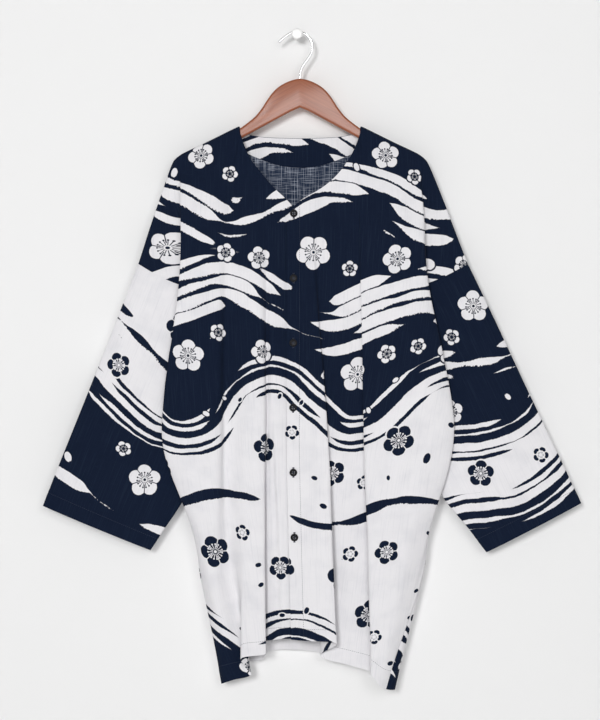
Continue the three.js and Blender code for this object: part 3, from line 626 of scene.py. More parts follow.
# Each scattered petal lies between these: place across, place up, radius, turn in degrees.
PETAL_LOW, PETAL_HIGH = (-300, -960, 4.5, 0), (300, -30, 7.5, 360)
PETAL_SEEDS = {"front": 5, "back": 4, "sleeve_right": 12, "sleeve_left": 11}


# %% Curves through the design's own points
def smooth_path(path, steps=12):
    """A finely stepped curve through listed points."""
    path = np.array(path, float)
    knots = np.arange(len(path))
    return curve(knots, path, np.linspace(0, len(path) - 1, (len(path) - 1) * steps + 1), firm=0)


def beside_path(flat, path):
    """For each point, the distance left of the path's nearest place, the way along it, and its row."""
    start, step = path[:-1, :2], np.diff(path[:, :2], axis=0)
    length = np.linalg.norm(step, axis=1)
    offset = flat[:, None] - start[None]
    share = np.clip((offset * step).sum(-1) / length**2, 0, 1)
    distance = np.linalg.norm(offset - share[..., None] * step, axis=-1)
    nearest = distance.argmin(1)
    rows = np.arange(len(flat))
    share, distance = share[rows, nearest], distance[rows, nearest]
    side = np.sign(np.cross(step[nearest], offset[rows, nearest]))
    run = run_along(path[:, :2])
    return distance * side, run[nearest] + share * length[nearest], nearest + share


def stream_values(flat, streams):
    """Place across the nearest stream, place along it and how far inside its edge."""
    best = np.full((len(flat), 3), -1e3)
    for number, path in enumerate(map(smooth_path, streams)):
        lateral, along, row = beside_path(flat, path)
        half = np.interp(row, np.arange(len(path)), path[:, 2])
        values = np.stack([lateral, along + 1000 * number, half - np.abs(lateral)], 1)
        best = np.where(values[:, 2:] > best[:, 2:], values, best)
    return best


# %% Flowers kept apart, and loose petals between them
def spread(flowers):
    """Moves the smaller one of each two flowers that nearly touch, until they stand clear."""
    spots = np.array([row if len(row) == 5 else [*row, BLOSSOM] for row in flowers], float)
    for _ in range(SPREAD_ROUNDS):
        for i in range(len(spots)):
            away = spots[:, :2] - spots[i, :2]
            distance = np.maximum(np.linalg.norm(away, axis=1), 0.1)
            short = FLOWER_SPACING * (spots[:, 2] + spots[i, 2]) + FLOWER_GAP - distance
            moves = (short > 0) & ((spots[:, 2] < spots[i, 2]) | (np.arange(len(spots)) > i))
            moves[i] = False
            spots[moves, :2] += (away / distance[:, None] * short[:, None])[moves]
    return spots


def scatter_petals(flowers, streams, seed):
    """Adds small loose petals where the flowers and the streams leave room."""
    chance = np.random.default_rng(seed)
    tries = chance.uniform(PETAL_LOW, PETAL_HIGH, (PETAL_TRIES, 4))
    dry = stream_values(tries[:, :2], streams)[:, 2] < -tries[:, 2] - 2
    spots = list(flowers)
    for x, y, radius, turn in tries[dry]:
        apart = all(
            math.hypot(x - other[0], y - other[1]) > PETAL_SPACING * (radius + other[2]) + FLOWER_GAP
            for other in spots
        )
        if apart and len(spots) < len(flowers) + PETAL_COUNT:
            spots.append([x, y, radius, turn, PETAL])
    return spots


# %% Smooth values for every point of the cloth
def shore_values(flat, shores):
    """How far onto pale ground each point is, and the place along the shore."""
    best = np.full((len(flat), 3), 1e3)
    for number, path in enumerate(map(smooth_path, shores)):
        lateral, along, _ = beside_path(flat, path)
        values = np.stack([-lateral, along + 1000 * number, 0 * along], 1)
        best = np.where(values[:, :1] < best[:, :1], values, best)
    return best


def flower_values(flat, flowers):
    """Place inside the nearest flower (in its radii), its closeness, radius and kind."""
    spots = np.array(flowers, float)
    nearest = np.empty(len(flat), int)
    for part in np.array_split(np.arange(len(flat)), 8):
        reach = np.linalg.norm(flat[part, None] - spots[None, :, :2], axis=-1) / spots[:, 2]
        nearest[part] = reach.argmin(1)
    spot = spots[nearest]
    x, y = ((flat - spot[:, :2]) / spot[:, 2:3]).T
    turn = np.radians(spot[:, 3])
    local = [x * np.cos(turn) - y * np.sin(turn), x * np.sin(turn) + y * np.cos(turn)]
    return np.column_stack([*local, np.hypot(x, y)]), np.column_stack([spot[:, 2], spot[:, 4], 0 * x])


def print_values(flat, design):
    """Every named value that the printed cloth's shader reads."""
    flowers = scatter_petals(spread(FLOWERS[design]), STREAMS[design], PETAL_SEEDS[design])
    place, size_and_kind = flower_values(flat, flowers)
    return {
        "flat": np.column_stack([flat, np.zeros(len(flat))]),
        "stream": stream_values(flat, STREAMS[design]),
        "shore": shore_values(flat, SHORES[design]),
        "flower": place,
        "flower_size": size_and_kind,
    }


# %% Flat cloth coordinates
LEVEL_ONLY = (1, 1, 0)  # body panels are measured level, as on the pattern


def flat_width(points, from_row=0):
    """How far each point is across the flat cloth from one row's point, along the surface."""
    steps = np.linalg.norm(np.diff(points, axis=0), axis=-1)
    width = np.concatenate([np.zeros((1, points.shape[1])), np.cumsum(steps, axis=0)])
    return width - width[from_row][None, :]


# %% [markdown]
# ## Cloth as a thin shell
# Cloth seen from inside needs its own face, because the wrong side of a print is paler and
# rougher. So every piece is built as two layers half a millimetre apart, closed by a rim, and each
# layer gets its own material. A Solidify modifier would do this too, but building both layers here
# keeps the flat coordinates on both of them.

# %% Build a shell piece
OUTSIDE, INSIDE = 0, 1


def shell(name, outer, normals, values, outward, turned_from):
    """Mesh object with an outer and an inner layer, from grids in metres.

    From row turned_from on, the edge is turned in, so the inner layer shows the printed face too.
    """
    rows, cols = outer.shape[:2]
    inner = outer - normals * CLOTH * MM
    vertices = np.concatenate([outer.reshape(-1, 3), inner.reshape(-1, 3)])
    number = np.arange(rows * cols).reshape(rows, cols)
    a, b, c, d = number[:-1, :-1], number[1:, :-1], number[1:, 1:], number[:-1, 1:]
    sheet = np.stack([a, b, c, d], -1).reshape(-1, 4)
    layer = rows * cols
    facing = np.cross(np.gradient(outer, axis=0), np.gradient(outer, axis=1))
    if np.dot(facing[rows // 2, cols // 2], outward) < 0:
        sheet = sheet[:, ::-1]
    loop = np.concatenate([number[:, 0], number[-1, 1:], number[-2::-1, -1], number[0, -2:0:-1]])
    after = np.roll(loop, -1)
    rim = np.stack([loop, after, after + layer, loop + layer], -1)
    faces = np.concatenate([sheet, sheet[:, ::-1] + layer, rim])
    mesh = bpy.data.meshes.new(name)
    mesh.from_pydata(vertices.tolist(), [], faces.tolist())
    for key, data in values.items():
        attribute = mesh.attributes.new(key, "FLOAT_VECTOR", "POINT")
        attribute.data.foreach_set("vector", np.concatenate([data, data]).astype(np.float32).ravel())
    inner_side = np.full((rows - 1, cols - 1), INSIDE, np.int32)
    inner_side[:, turned_from:] = OUTSIDE
    side = np.zeros(len(faces), np.int32)
    side[len(sheet):2 * len(sheet)] = inner_side.ravel()
    mesh.materials.append(None)
    mesh.materials.append(None)
    mesh.polygons.foreach_set("material_index", side)
    keep_edges(mesh, 50)
    mesh.update()
    return add_object(name, mesh)


cloth_pieces = {}
surface = {}  # outer grid, normals and flat width of each piece, for stitches and buttons


def add_cloth(name, node, outer, normals, width, flat, design, outward, turned_from):
    """Builds one printed piece of the shirt and keeps its surface."""
    values = print_values(flat.reshape(-1, 2), design)
    piece = shell(name, outer, normals, values, outward, turned_from)
    dress(piece, node)
    cloth_pieces[name] = piece
    surface[name] = (outer, normals, width)


# %% Fronts
STAND_WIDTH = 20.5  # from the front edge to the fold's own edge
CALM_EDGE = 18.0  # creases grow over this width from the front edge
CALM_SHOULDER = 0.05  # and over this share below the shoulder
HEM_ROW = int(np.searchsorted(DOWN, 1 - HEM_SHARE))


def finish_edges(down, width, stand_width=0.0):
    """Height of turned and sewn edges: the hem, and a folded stand beside the front edge."""
    from_hem = (1 - down)[None, :] * BODY_LENGTH
    hem_top = HEM_SHARE * BODY_LENGTH
    height = TURNED * smoothstep(hem_top + 1.5, hem_top - 1.5, from_hem)
    height = height + groove(from_hem - hem_top + 3, 2.5, 0.35)
    if stand_width:
        stand = smoothstep(stand_width + 1.2, stand_width - 1.2, width)
        height = np.maximum(height, TURNED * stand) + groove(width - stand_width + 1.5, 1.8, 0.3)
    return height + 0 * width


def make_front(side, start, stand_width, seed):
    points = front_points[side]
    width = flat_width(points * LEVEL_ONLY)
    normals = grid_normals(points, (0, -1, 0))
    s, z = points[..., 0], points[..., 2]
    calm = smoothstep(0, CALM_SHOULDER, DOWN)[None, :] * smoothstep(0, CALM_EDGE, width)
    height = (crease_heights(s, z, FRONT_CREASES[side]) + rumple(s, z, seed)) * calm
    height += finish_edges(DOWN, width, stand_width) + SOLID_WALL / 2
    outer = to_world(points + normals * height[..., None], side)
    way = 1 if side == "left" else -1
    flat = np.stack([way * (start + width), z], -1)
    add_cloth(f"cloth_front_{side}", f"front_{side}", outer, normals * (way, 1, 1), width, flat,
              "front", (0, -1, 0), HEM_ROW)


make_front("right", FRONT_RIGHT[0][1], 0.0, 0.4)
make_front("left", FRONT_LEFT[0][1], STAND_WIDTH, 1.7)
print("fronts:", [len(p.data.polygons) for p in cloth_pieces.values()], "faces")


# %% Back
def make_back():
    points = back_points
    width = flat_width(points * LEVEL_ONLY, len(points) // 2)
    normals = grid_normals(points, (0, 1, 0))
    s, z = points[..., 0], points[..., 2]
    calm = smoothstep(0, CALM_SHOULDER, DOWN)[None, :]
    height = (crease_heights(s, z, BACK_CREASES) + rumple(s, z, 3.1)) * calm
    height += finish_edges(DOWN, width) + SOLID_WALL / 2
    outer = to_world(points + normals * height[..., None], "left")
    add_cloth("cloth_back", "back", outer, normals, width, np.stack([width, z], -1),
              "back", (0, 1, 0), HEM_ROW)


make_back()

# %% Neck facing
FACING_GUIDES = 3  # it ends at this guide line on each side, counted from 0 in the middle
FACING_DEPTH, FACING_SIDE_DEPTH = 0.11, 0.078  # shares of the back, in the middle and at its ends
FACING_WALL, SEAM_GAP = 0.8, 0.3
FACING_COLUMNS, FACING_ROWS = 16, 30  # columns from one guide to the next, and rows
FACING_PRINT = (90, -78)  # where it was cut out of the printed cloth


def make_facing():
    """The band inside the back neck: the back's own form, moved in, down to a curved lower edge."""
    rows = np.linspace(0, 1, FACING_ROWS)
    half = FACING_GUIDES * FACING_COLUMNS
    columns = []
    for i in range(-half, half + 1):
        table, side = (BACK_RIGHT, "right") if i < 0 else (BACK_LEFT, "left")
        guide = abs(i) / FACING_COLUMNS
        depth = lerp(FACING_DEPTH, FACING_SIDE_DEPTH, (guide / FACING_GUIDES) ** 2)
        line = half_panel(table, side, 1, np.array([guide]), 0.004 + depth * rows)[0]
        line[:, 0] *= -1 if i < 0 else 1
        columns.append(line)
    points = np.array(columns)
    normals = grid_normals(points, (0, -1, 0))
    width = flat_width(points * LEVEL_ONLY, half)
    points[..., 1] -= SOLID_WALL / 2 + SEAM_GAP + FACING_WALL
    s, z = points[..., 0], points[..., 2]
    height = groove((rows - 0.06)[None, :] * 60, 2.0, 0.25) + 0.15 * rumple(s, z, 5.0)
    outer = to_world(points + normals * height[..., None], "left")
    flat = np.stack([width + FACING_PRINT[0], z + FACING_PRINT[1]], -1)
    add_cloth("cloth_neck_facing", "back_neck_facing", outer, normals, width, flat,
              "front", (0, -1, 0), FACING_ROWS - 1)


make_facing()


# %% Sleeves
CUFF_HEM = 25.0
CUFF_ROW = int(np.searchsorted(SLEEVE_DOWN, 0.94))
CALM_ARMHOLE, CALM_FOLD = 30, 5  # creases fade towards the armhole and towards the sleeve's folds


def make_sleeve(side, seed):
    points = sleeves[side]
    width = flat_width(points, len(points) // 2)
    normals = grid_normals(points, (0, 0, 0))
    from_middle = points[..., 1] - ARMHOLE_Y
    if (normals[..., 1] * from_middle).mean() < 0:
        normals = -normals
    s, z = points[..., 0], points[..., 2]
    from_cuff = (1 - SLEEVE_DOWN)[None, :] * SLEEVE_LENGTH
    from_armhole = SLEEVE_DOWN[None, :] * SLEEVE_LENGTH
    calm = smoothstep(0, CALM_ARMHOLE, from_armhole) * np.clip(np.abs(from_middle) / CALM_FOLD, 0, 1)
    height = (crease_heights(s, z, SLEEVE_CREASES[side]) + rumple(s, z, seed)) * calm
    height += TURNED * smoothstep(CUFF_HEM + 1.5, CUFF_HEM - 1.5, from_cuff)
    height += groove(from_cuff - CUFF_HEM + 4, 2.5, 0.35)
    height += groove(from_armhole, 3.0, 0.7) + SOLID_WALL / 2
    outer = to_world(points + normals * height[..., None], side)
    normals = normals * (1 if side == "left" else -1, 1, 1)
    flat = np.stack([width, -from_armhole + 0 * width], -1)
    middle = normals[len(points) // 2, points.shape[1] // 2]
    add_cloth(f"cloth_sleeve_{side}", f"sleeve_{side}", outer, normals, width, flat,
              f"sleeve_{side}", middle, CUFF_ROW)


make_sleeve("right", 2.2)
make_sleeve("left", 4.4)
print("cloth pieces:", {name: len(piece.data.polygons) for name, piece in cloth_pieces.items()})

# %% [markdown]
# ## Shader maths as Python
# A shader is a graph of nodes, but its maths is easier to read as an expression. The small class
# below wraps one socket, so that `1 - mask` or `point * 0.5` adds the right node. Single numbers use
# Math nodes, vectors use Vector Math, colours are mixed, and every other node comes from `node`.

# %% The shader helper
def joining(operation, swapped=False):
    """A method that joins two values with one node."""
    def method(self, other):
        pair = (other, self) if swapped else (self, other)
        is_vector = any(isinstance(v, Shade) and v.socket.type == "VECTOR" for v in pair)
        if is_vector:
            pair = [(v, v, v) if isinstance(v, (int, float)) else v for v in pair]
        kind = "ShaderNodeVectorMath" if is_vector else "ShaderNodeMath"
        return self.recipe.node(kind, {"operation": operation}, {0: pair[0], 1: pair[1]})
    return method


def changing(operation):
    """A method that changes one value with a Math node."""
    def method(self):
        return self.recipe.node("ShaderNodeMath", {"operation": operation}, {0: self})
    return method


class Shade:
    """One value in a material's graph, which can be added, multiplied and compared."""

    def __init__(self, recipe, socket):
        self.recipe, self.socket = recipe, socket

    __add__ = __radd__ = joining("ADD")
    __sub__ = joining("SUBTRACT")
    __rsub__ = joining("SUBTRACT", swapped=True)
    __mul__ = __rmul__ = joining("MULTIPLY")
    __truediv__ = joining("DIVIDE")
    over = joining("MAXIMUM")
    under = joining("MINIMUM")
    size = changing("ABSOLUTE")
    part = changing("FRACT")
    sine = changing("SINE")
    cosine = changing("COSINE")
    root = changing("SQRT")

    def axis(self, number):
        return self.recipe.node("ShaderNodeSeparateXYZ", {}, {0: self}, out=number)

    def step(self, low, high, start=0.0, end=1.0):
        """Rises smoothly from start to end as the value goes from low to high."""
        return self.recipe.node(
            "ShaderNodeMapRange", {"interpolation_type": "SMOOTHSTEP"},
            {"Value": self, "From Min": low, "From Max": high, "To Min": start, "To Max": end},
        )


class Recipe:
    """A material under construction."""

    def __init__(self, name):
        self.material = bpy.data.materials.new(name)
        self.material.use_nodes = True
        self.tree = self.material.node_tree
        self.tree.nodes.clear()

    def node(self, kind, settings=None, sockets=None, out=0):
        node = self.tree.nodes.new(kind)
        for key, value in (settings or {}).items():
            setattr(node, key, value)
        for key, value in (sockets or {}).items():
            if isinstance(value, Shade):
                self.tree.links.new(value.socket, node.inputs[key])
            else:
                node.inputs[key].default_value = value
        return Shade(self, node.outputs[out]) if node.outputs else None

    def attribute(self, name):
        return self.node("ShaderNodeAttribute", {"attribute_name": name}, out="Vector")

    def place(self):
        """Where a point is on its own piece, in metres."""
        return self.node("ShaderNodeTexCoord", out="Object")

    def vector(self, x, y, z):
        return self.node("ShaderNodeCombineXYZ", {}, {0: x, 1: y, 2: z})

    def noise(self, point, scale, detail=2.0, rough=0.5):
        return self.node(
            "ShaderNodeTexNoise", {},
            {"Vector": point, "Scale": scale, "Detail": detail, "Roughness": rough},
        )

    def mix(self, share, a, b):
        return self.node("ShaderNodeMix", {"data_type": "RGBA"}, {0: share, 6: a, 7: b}, out=2)

    def arctangent(self, y, x):
        return self.node("ShaderNodeMath", {"operation": "ARCTAN2"}, {0: y, 1: x})

    def bump(self, height, distance, strength=1.0):
        return self.node(
            "ShaderNodeBump", {}, {"Height": height, "Distance": distance, "Strength": strength},
        )

    def surface(self, sockets):
        return self.output(self.node("ShaderNodeBsdfPrincipled", {}, sockets))

    def output(self, shader):
        self.node("ShaderNodeOutputMaterial", {}, {"Surface": shader})
        return self.material


# %% [markdown]
# ## Slubbed cotton, printed
# The cloth is a plain weave of uneven yarn. Thick places in the yarn, called slubs, show as faint
# short streaks both along and across. The print lies on one face. On the wrong side, the blue only
# half shows and the yarns make a cross-hatch. Both faces share the design below and differ in how
# strongly it covers the yarn.

# %% The design, drawn from the smooth values
NAVY = (0.0048, 0.0096, 0.0250, 1)
PALE = (0.738, 0.728, 0.746, 1)
PALE_SHADE = (0.520, 0.525, 0.565, 1)
NAVY_WORN = (0.014, 0.024, 0.046, 1)
COTTON_SHEEN = {"Sheen Weight": 0.01, "Sheen Roughness": 0.5, "Specular IOR Level": 0.08}
LANE, RIPPLE_LANE = 19.0, 11.0  # from one brush stroke to the next, in a stream and on a shore, mm
LANE_SHIFT, STROKE_PACE = 3.7, 0.0085  # how strokes differ, from lane to lane and along one
PETAL_ANGLE = 2 * math.pi / 5
# in a blossom's radii: the middle and the radius of each petal, and the disc that they grow from
PETAL_MIDDLE, PETAL_RADIUS, DISC_RADIUS = 0.57, 0.43, 0.3
PETAL_LINE = (0.95, 0.35)  # mm from the line between two petals: nothing of it, all of it
FILAMENT_LINE, ANTHER_DOT, HEART_DOT = (0.62, 0.28), (1.5, 1.0), (2.4, 1.9)
ANTHER_AT = 0.47


def flower_marks(paint, wobble):
    """Coverage of the nearest flower or petal, of the fine lines in it, and where it may be drawn."""
    place = paint.attribute("flower")
    size_and_kind = paint.attribute("flower_size")
    radius, loose = size_and_kind.axis(0), size_and_kind.axis(1).step(0.4, 0.6)
    x, y = place.axis(0), place.axis(1)
    reach = (x * x + y * y).root()
    sector = paint.arctangent(y, x) / PETAL_ANGLE
    within = ((sector + 0.5).part() - 0.5) * PETAL_ANGLE
    lobe_x = reach * within.cosine() - PETAL_MIDDLE
    lobe_y = reach * within.sine()
    petal = (PETAL_RADIUS - (lobe_x * lobe_x + lobe_y * lobe_y).root()) * radius
    flower = petal.over((DISC_RADIUS - reach) * radius)
    # A loose petal is an oval with a notch at its end.
    notch = ((x - 1.0) * (x - 1.0) + y * y * 3.0).root() - 0.3
    single = (0.8 - (x * x + y * y * 2.4).root()).under(notch) * radius
    shape = flower * (1 - loose) + single * loose + wobble
    between = (PETAL_ANGLE / 2 - within.size()).sine() * reach * radius
    seam = between.step(*PETAL_LINE) * reach.step(0.26, 0.32)
    # Three filaments stand on each petal, and each ends in a dot.
    ray = ((sector * 3 + 0.5).part() - 0.5) * (PETAL_ANGLE / 3)
    beside = ray.sine() * reach * radius
    filament = beside.size().step(*FILAMENT_LINE) * reach.step(0.14, 0.17) * reach.step(0.46, 0.43)
    beyond = (reach - ANTHER_AT) * radius
    anther = (beside * beside + beyond * beyond).root().step(*ANTHER_DOT)
    heart = (reach * radius).step(*HEART_DOT)
    lines = seam.over(filament).over(anther).over(heart) * (1 - loose)
    return shape, lines, place.axis(2).step(1.22, 1.15)


def brush_strokes(paint, across, along, lane_width, least, most):
    """Parallel strokes that swell, taper and end at their own places: how far inside one, in mm."""
    lane = across / lane_width + 0.5
    beside = (lane.part() - 0.5).size() * lane_width
    number = lane - lane.part()
    reading = paint.vector(number * LANE_SHIFT, along * STROKE_PACE, 0.0)
    swell = paint.noise(reading, 1.0, 1.0)
    return swell.step(0.34, 0.58, least, most) - beside


def pale_share(paint):
    """How pale the print is at each point: 0 where it is blue, 1 where the cloth is bare."""
    flat = paint.attribute("flat")
    slow = paint.noise(flat, 0.03, 2.0) - 0.5
    quick = paint.noise(flat, 0.4, 2.0) - 0.5
    wobble = slow * 6.0 + quick * 1.8  # no edge of the print is quite straight
    shore = paint.attribute("shore")
    onshore = shore.axis(0) + wobble
    ground = onshore.step(-0.4, 0.4)
    # Two lanes of ripples follow the shore on both sides.
    ripple = brush_strokes(paint, onshore.size() - 13.0, shore.axis(1), RIPPLE_LANE, -2.5, 3.1)
    ripple = ripple.step(-0.3, 0.3) * onshore.size().step(7.0, 7.6) * onshore.size().step(30.0, 29.0)
    # Strokes of water fill each stream and fray towards its edges.
    stream = paint.attribute("stream")
    inside = stream.axis(2)
    water = brush_strokes(paint, stream.axis(0) + wobble, stream.axis(1), LANE, -4.0, 8.7)
    ragged = quick * paint.noise(flat, 0.02, 1.0).step(0.42, 0.58, 1.2, 5.0)
    water = (water - inside.step(9.0, 1.0) * 6.0 + ragged).step(-0.35, 0.35) * inside.step(0.0, 1.5)
    # All marks are pale on dark ground and dark on pale ground, and flowers lie over the strokes.
    marks = water.over(ripple * inside.step(1.0, -3.0))
    pale = ground + marks - ground * marks * 2
    shape, lines, close = flower_marks(paint, quick * 1.2)
    petal = shape.step(-0.3, 0.3) * close
    halo = shape.step(-2.6, -2.0) * close
    flower = ground + (1 - ground * 2) * (petal * (1 - lines))
    return pale + (flower - pale) * halo


def slub(paint, flat):
    """Yarn streaks along and across the cloth, and a fine weave, each about 0 to 1."""
    across = paint.noise(flat * (0.04, 0.8, 1.0), 1.0, 2.0, 0.6)
    along = paint.noise(flat * (0.62, 0.014, 1.0), 1.0, 3.0, 0.6)
    fine = paint.noise(flat, 1.6, 2.0, 0.7)
    return across, along, fine


# %% The two faces of the cloth
def printed_face():
    paint = Recipe("printed cotton")
    flat = paint.attribute("flat")
    across, along, fine = slub(paint, flat)
    pale = pale_share(paint)
    streak = (across.step(0.56, 0.76) * 0.6).over(along.step(0.50, 0.68))
    cloud = paint.noise(flat, 0.03, 3.0)
    bare = paint.mix(streak * 0.22 + cloud.step(0.40, 0.75) * 0.26, PALE, PALE_SHADE)
    dyed = paint.mix(streak * 0.35 + fine.step(0.5, 0.8) * 0.15, NAVY, NAVY_WORN)
    colour = paint.mix(pale, dyed, bare)
    relief = across * 0.5 + along * 0.5 + fine * 0.6
    return paint.surface({
        "Base Color": colour,
        "Roughness": fine.step(0.2, 0.9, 0.86, 0.97),
        "Normal": paint.bump(relief, 0.00035, 0.5),
        **COTTON_SHEEN,
    })


def wrong_face():
    paint = Recipe("cotton wrong side")
    flat = paint.attribute("flat")
    across, along, fine = slub(paint, flat)
    pale = pale_share(paint)
    hatch = across.step(0.50, 0.66) * 0.6 + along.step(0.50, 0.66) * 0.6
    dyed = paint.mix(hatch, (0.016, 0.026, 0.052, 1), (0.330, 0.355, 0.420, 1))
    bare = paint.mix(hatch, (0.60, 0.61, 0.66, 1), PALE)
    colour = paint.mix(pale, dyed, bare)
    return paint.surface({
        "Base Color": colour,
        "Roughness": fine.step(0.2, 0.9, 0.88, 0.98),
        "Normal": paint.bump(across + along + fine * 0.6, 0.0004, 0.5),
        **COTTON_SHEEN,
    })


cotton_print, cotton_inside = printed_face(), wrong_face()
for piece in cloth_pieces.values():
    piece.data.materials[OUTSIDE] = cotton_print
    piece.data.materials[INSIDE] = cotton_inside
print("cloth shader nodes:", len(cotton_print.node_tree.nodes), len(cotton_inside.node_tree.nodes))

# %% [markdown]
# ## Stitches
# The hems and the folded front edge are sewn with blue thread, which shows on the pale cloth as a
# fine dashed line. Each stitch is a small rounded bar that lies on the cloth, and one loop lays
# hundreds of them along a line of the cloth's own grid.

# %% Stitch lines
STITCH_LENGTH, STITCH_GAP, STITCH_RADIUS = 2.5 * MM, 0.7 * MM, 0.24 * MM
STITCH_SIDES, STITCH_FLATNESS = 5, 0.7
# share of the stitch's length, its thickness there and how high it lies, both in radii
STITCH_PROFILE = [(0.0, 0.25, -0.6), (0.18, 1.0, 0.1), (0.82, 1.0, 0.1), (1.0, 0.25, -0.6)]


def at_distance(distance, run, rows):
    """Values of rows at distances along a line."""
    return np.stack([np.interp(distance, run, rows[:, k]) for k in range(3)], -1)


def unit_rows(rows):
    return rows / np.maximum(np.linalg.norm(rows, axis=1, keepdims=True), 1e-12)


def stitches(name, lines):
    """One mesh of stitches along lines, each a pair of arrays: points and cloth normals, in metres."""
    angles = np.linspace(0, 2 * np.pi, STITCH_SIDES, endpoint=False)
    vertices, faces = [], []
    for points, normals in lines:
        run = run_along(points)
        count = int(run[-1] / (STITCH_LENGTH + STITCH_GAP))
        starts = np.arange(count) * (STITCH_LENGTH + STITCH_GAP)
        head = at_distance(starts, run, points)
        along = at_distance(starts + STITCH_LENGTH, run, points) - head
        up = unit_rows(at_distance(starts, run, normals))
        beside = unit_rows(np.cross(along, up))
        base = sum(len(ends) for ends in vertices)
        for share, swell, lift in STITCH_PROFILE:
            centre = head + along * share + up * STITCH_RADIUS * lift
            for a in angles:
                spoke = beside * np.cos(a) + up * np.sin(a) * STITCH_FLATNESS
                vertices.append(centre + spoke * swell * STITCH_RADIUS)
        for section in range(len(STITCH_PROFILE) - 1):
            for i in range(STITCH_SIDES):
                near = section * STITCH_SIDES + np.array([i, (i + 1) % STITCH_SIDES])
                quad = [*near, *(near[::-1] + STITCH_SIDES)]
                faces.append(np.stack([base + q * count + np.arange(count) for q in quad], 1))
    mesh = bpy.data.meshes.new(name)
    mesh.from_pydata(np.concatenate(vertices).tolist(), [], np.concatenate(faces).tolist())
    mesh.shade_smooth()
    piece = add_object(name, mesh)
    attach(piece, "root")
    return piece


def row_line(name, share, down=DOWN, first=0):
    """The line across a piece at a share of its length."""
    outer, normals, _ = surface[name]
    row = int(np.argmin(np.abs(down - share)))
    return outer[first:, row], normals[first:, row]


def column_line(name, distance, first, last):
    """The line down a piece at a flat distance from its first edge."""
    outer, normals, width = surface[name]
    rows = range(outer.shape[1])[first:last]
    return tuple(
        np.array([at_distance(distance, width[:, row], values[:, row]) for row in rows])
        for values in (outer, normals)
    )


HEM_LINE = 1 - HEM_SHARE + 0.003  # share down a body panel
CUFF_LINE = 0.945  # share down a sleeve
STAND_LINE = STAND_WIDTH - 1.5
seams = {
    "stitches_front_right": [row_line("cloth_front_right", HEM_LINE, first=1)],
    "stitches_front_left": [
        row_line("cloth_front_left", HEM_LINE, first=1),
        column_line("cloth_front_left", STAND_LINE, 2, -1),
    ],
    "stitches_back": [row_line("cloth_back", HEM_LINE)],
    "stitches_sleeve_right": [row_line("cloth_sleeve_right", CUFF_LINE, SLEEVE_DOWN)],
    "stitches_sleeve_left": [row_line("cloth_sleeve_left", CUFF_LINE, SLEEVE_DOWN)],
}
thread_pieces = [stitches(name, lines) for name, lines in seams.items()]


def thread_finish():
    paint = Recipe("navy thread")
    twist = paint.noise(paint.place(), 900.0, 1.0)
    return paint.surface({
        "Base Color": paint.mix(twist, (0.006, 0.010, 0.024, 1), (0.022, 0.032, 0.064, 1)),
        "Roughness": twist.step(0.3, 0.7, 0.6, 0.8),
        "Sheen Weight": 0.03,
    })


navy_thread = thread_finish()
for piece in thread_pieces:
    piece.data.materials.append(navy_thread)
stitch_vertices = len(STITCH_PROFILE) * STITCH_SIDES
print("stitches:", sum(len(piece.data.vertices) for piece in thread_pieces) // stitch_vertices)

# %% [markdown]
# ## Buttons
# The six buttons are dark, turned shirt buttons with a raised rim, a dished middle and four holes,
# sewn with crossed thread. A button is round because it is turned on a lathe, so its profile is
# spun here too. Boolean cutters drill the holes, as on the real one.

# %% One button, made once
DRILL_RADIUS, DRILL_SPREAD, DRILL_DEPTH, DRILL_SIDES = 0.75, 1.25, 6, 14
ROUND_SEGMENTS = 48
# radius and y, from the middle of the back, round the rim, to the middle of the dished face
BUTTON_PROFILE = [
    (0, 0), (4.6, 0), (5.3, -0.2), (5.68, -0.7), (5.75, -1.2), (5.6, -1.75), (5.15, -2.12),
    (4.7, -2.2), (4.35, -2.1), (3.95, -1.62), (3.4, -1.42), (0, -1.36),
]


def spun(name, profile, segments):
    """A closed solid spun about the y axis, from (radius, y) points in millimetres."""
    build = bmesh.new()
    turns = [2 * math.pi * n / segments for n in range(segments)]
    rings = []
    for radius, y in profile:
        angles = turns if radius else [0.0]
        rings.append([
            build.verts.new((radius * MM * math.cos(a), y * MM, radius * MM * math.sin(a)))
            for a in angles
        ])
    for low, high in zip(rings, rings[1:]):
        for n in range(segments):
            m = (n + 1) % segments
            corners = [low[n % len(low)], low[m % len(low)], high[m % len(high)], high[n % len(high)]]
            build.faces.new(list(dict.fromkeys(corners)))
    return finished(build, name)


def drilled_button():
    blank = add_object("button_blank", spun("button_blank", BUTTON_PROFILE, ROUND_SEGMENTS))
    drill = bmesh.new()
    upright = Matrix.Rotation(math.pi / 2, 3, "X")
    for x, z in ((-1, -1), (-1, 1), (1, -1), (1, 1)):
        hole = bmesh.ops.create_cone(
            drill, cap_ends=True, segments=DRILL_SIDES, radius1=DRILL_RADIUS * MM,
            radius2=DRILL_RADIUS * MM, depth=DRILL_DEPTH * MM)["verts"]
        bmesh.ops.rotate(drill, verts=hole, cent=(0, 0, 0), matrix=upright)
        bmesh.ops.translate(drill, verts=hole, vec=(x * DRILL_SPREAD * MM, 0, z * DRILL_SPREAD * MM))
    cutter = add_object("drill", finished(drill, "drill"))
    cut = blank.modifiers.new("holes", "BOOLEAN")
    cut.object, cut.operation, cut.solver = cutter, "DIFFERENCE", "EXACT"
    done = bpy.data.meshes.new_from_object(blank.evaluated_get(bpy.context.evaluated_depsgraph_get()))
    bpy.data.objects.remove(blank)
    bpy.data.objects.remove(cutter)
    done.name = "button"
    keep_edges(done, 40)
    return done


THREAD_RADIUS, THREAD_PITCH, THREAD_SIDES, THREAD_STEPS = 0.24, 0.42, 6, 8
DISH_Y = -1.42  # the button's dished face, which the thread crosses
THREAD_ARCH, THREAD_OVER = 0.42, 0.12  # how far it arches, and the second pass lies over the first


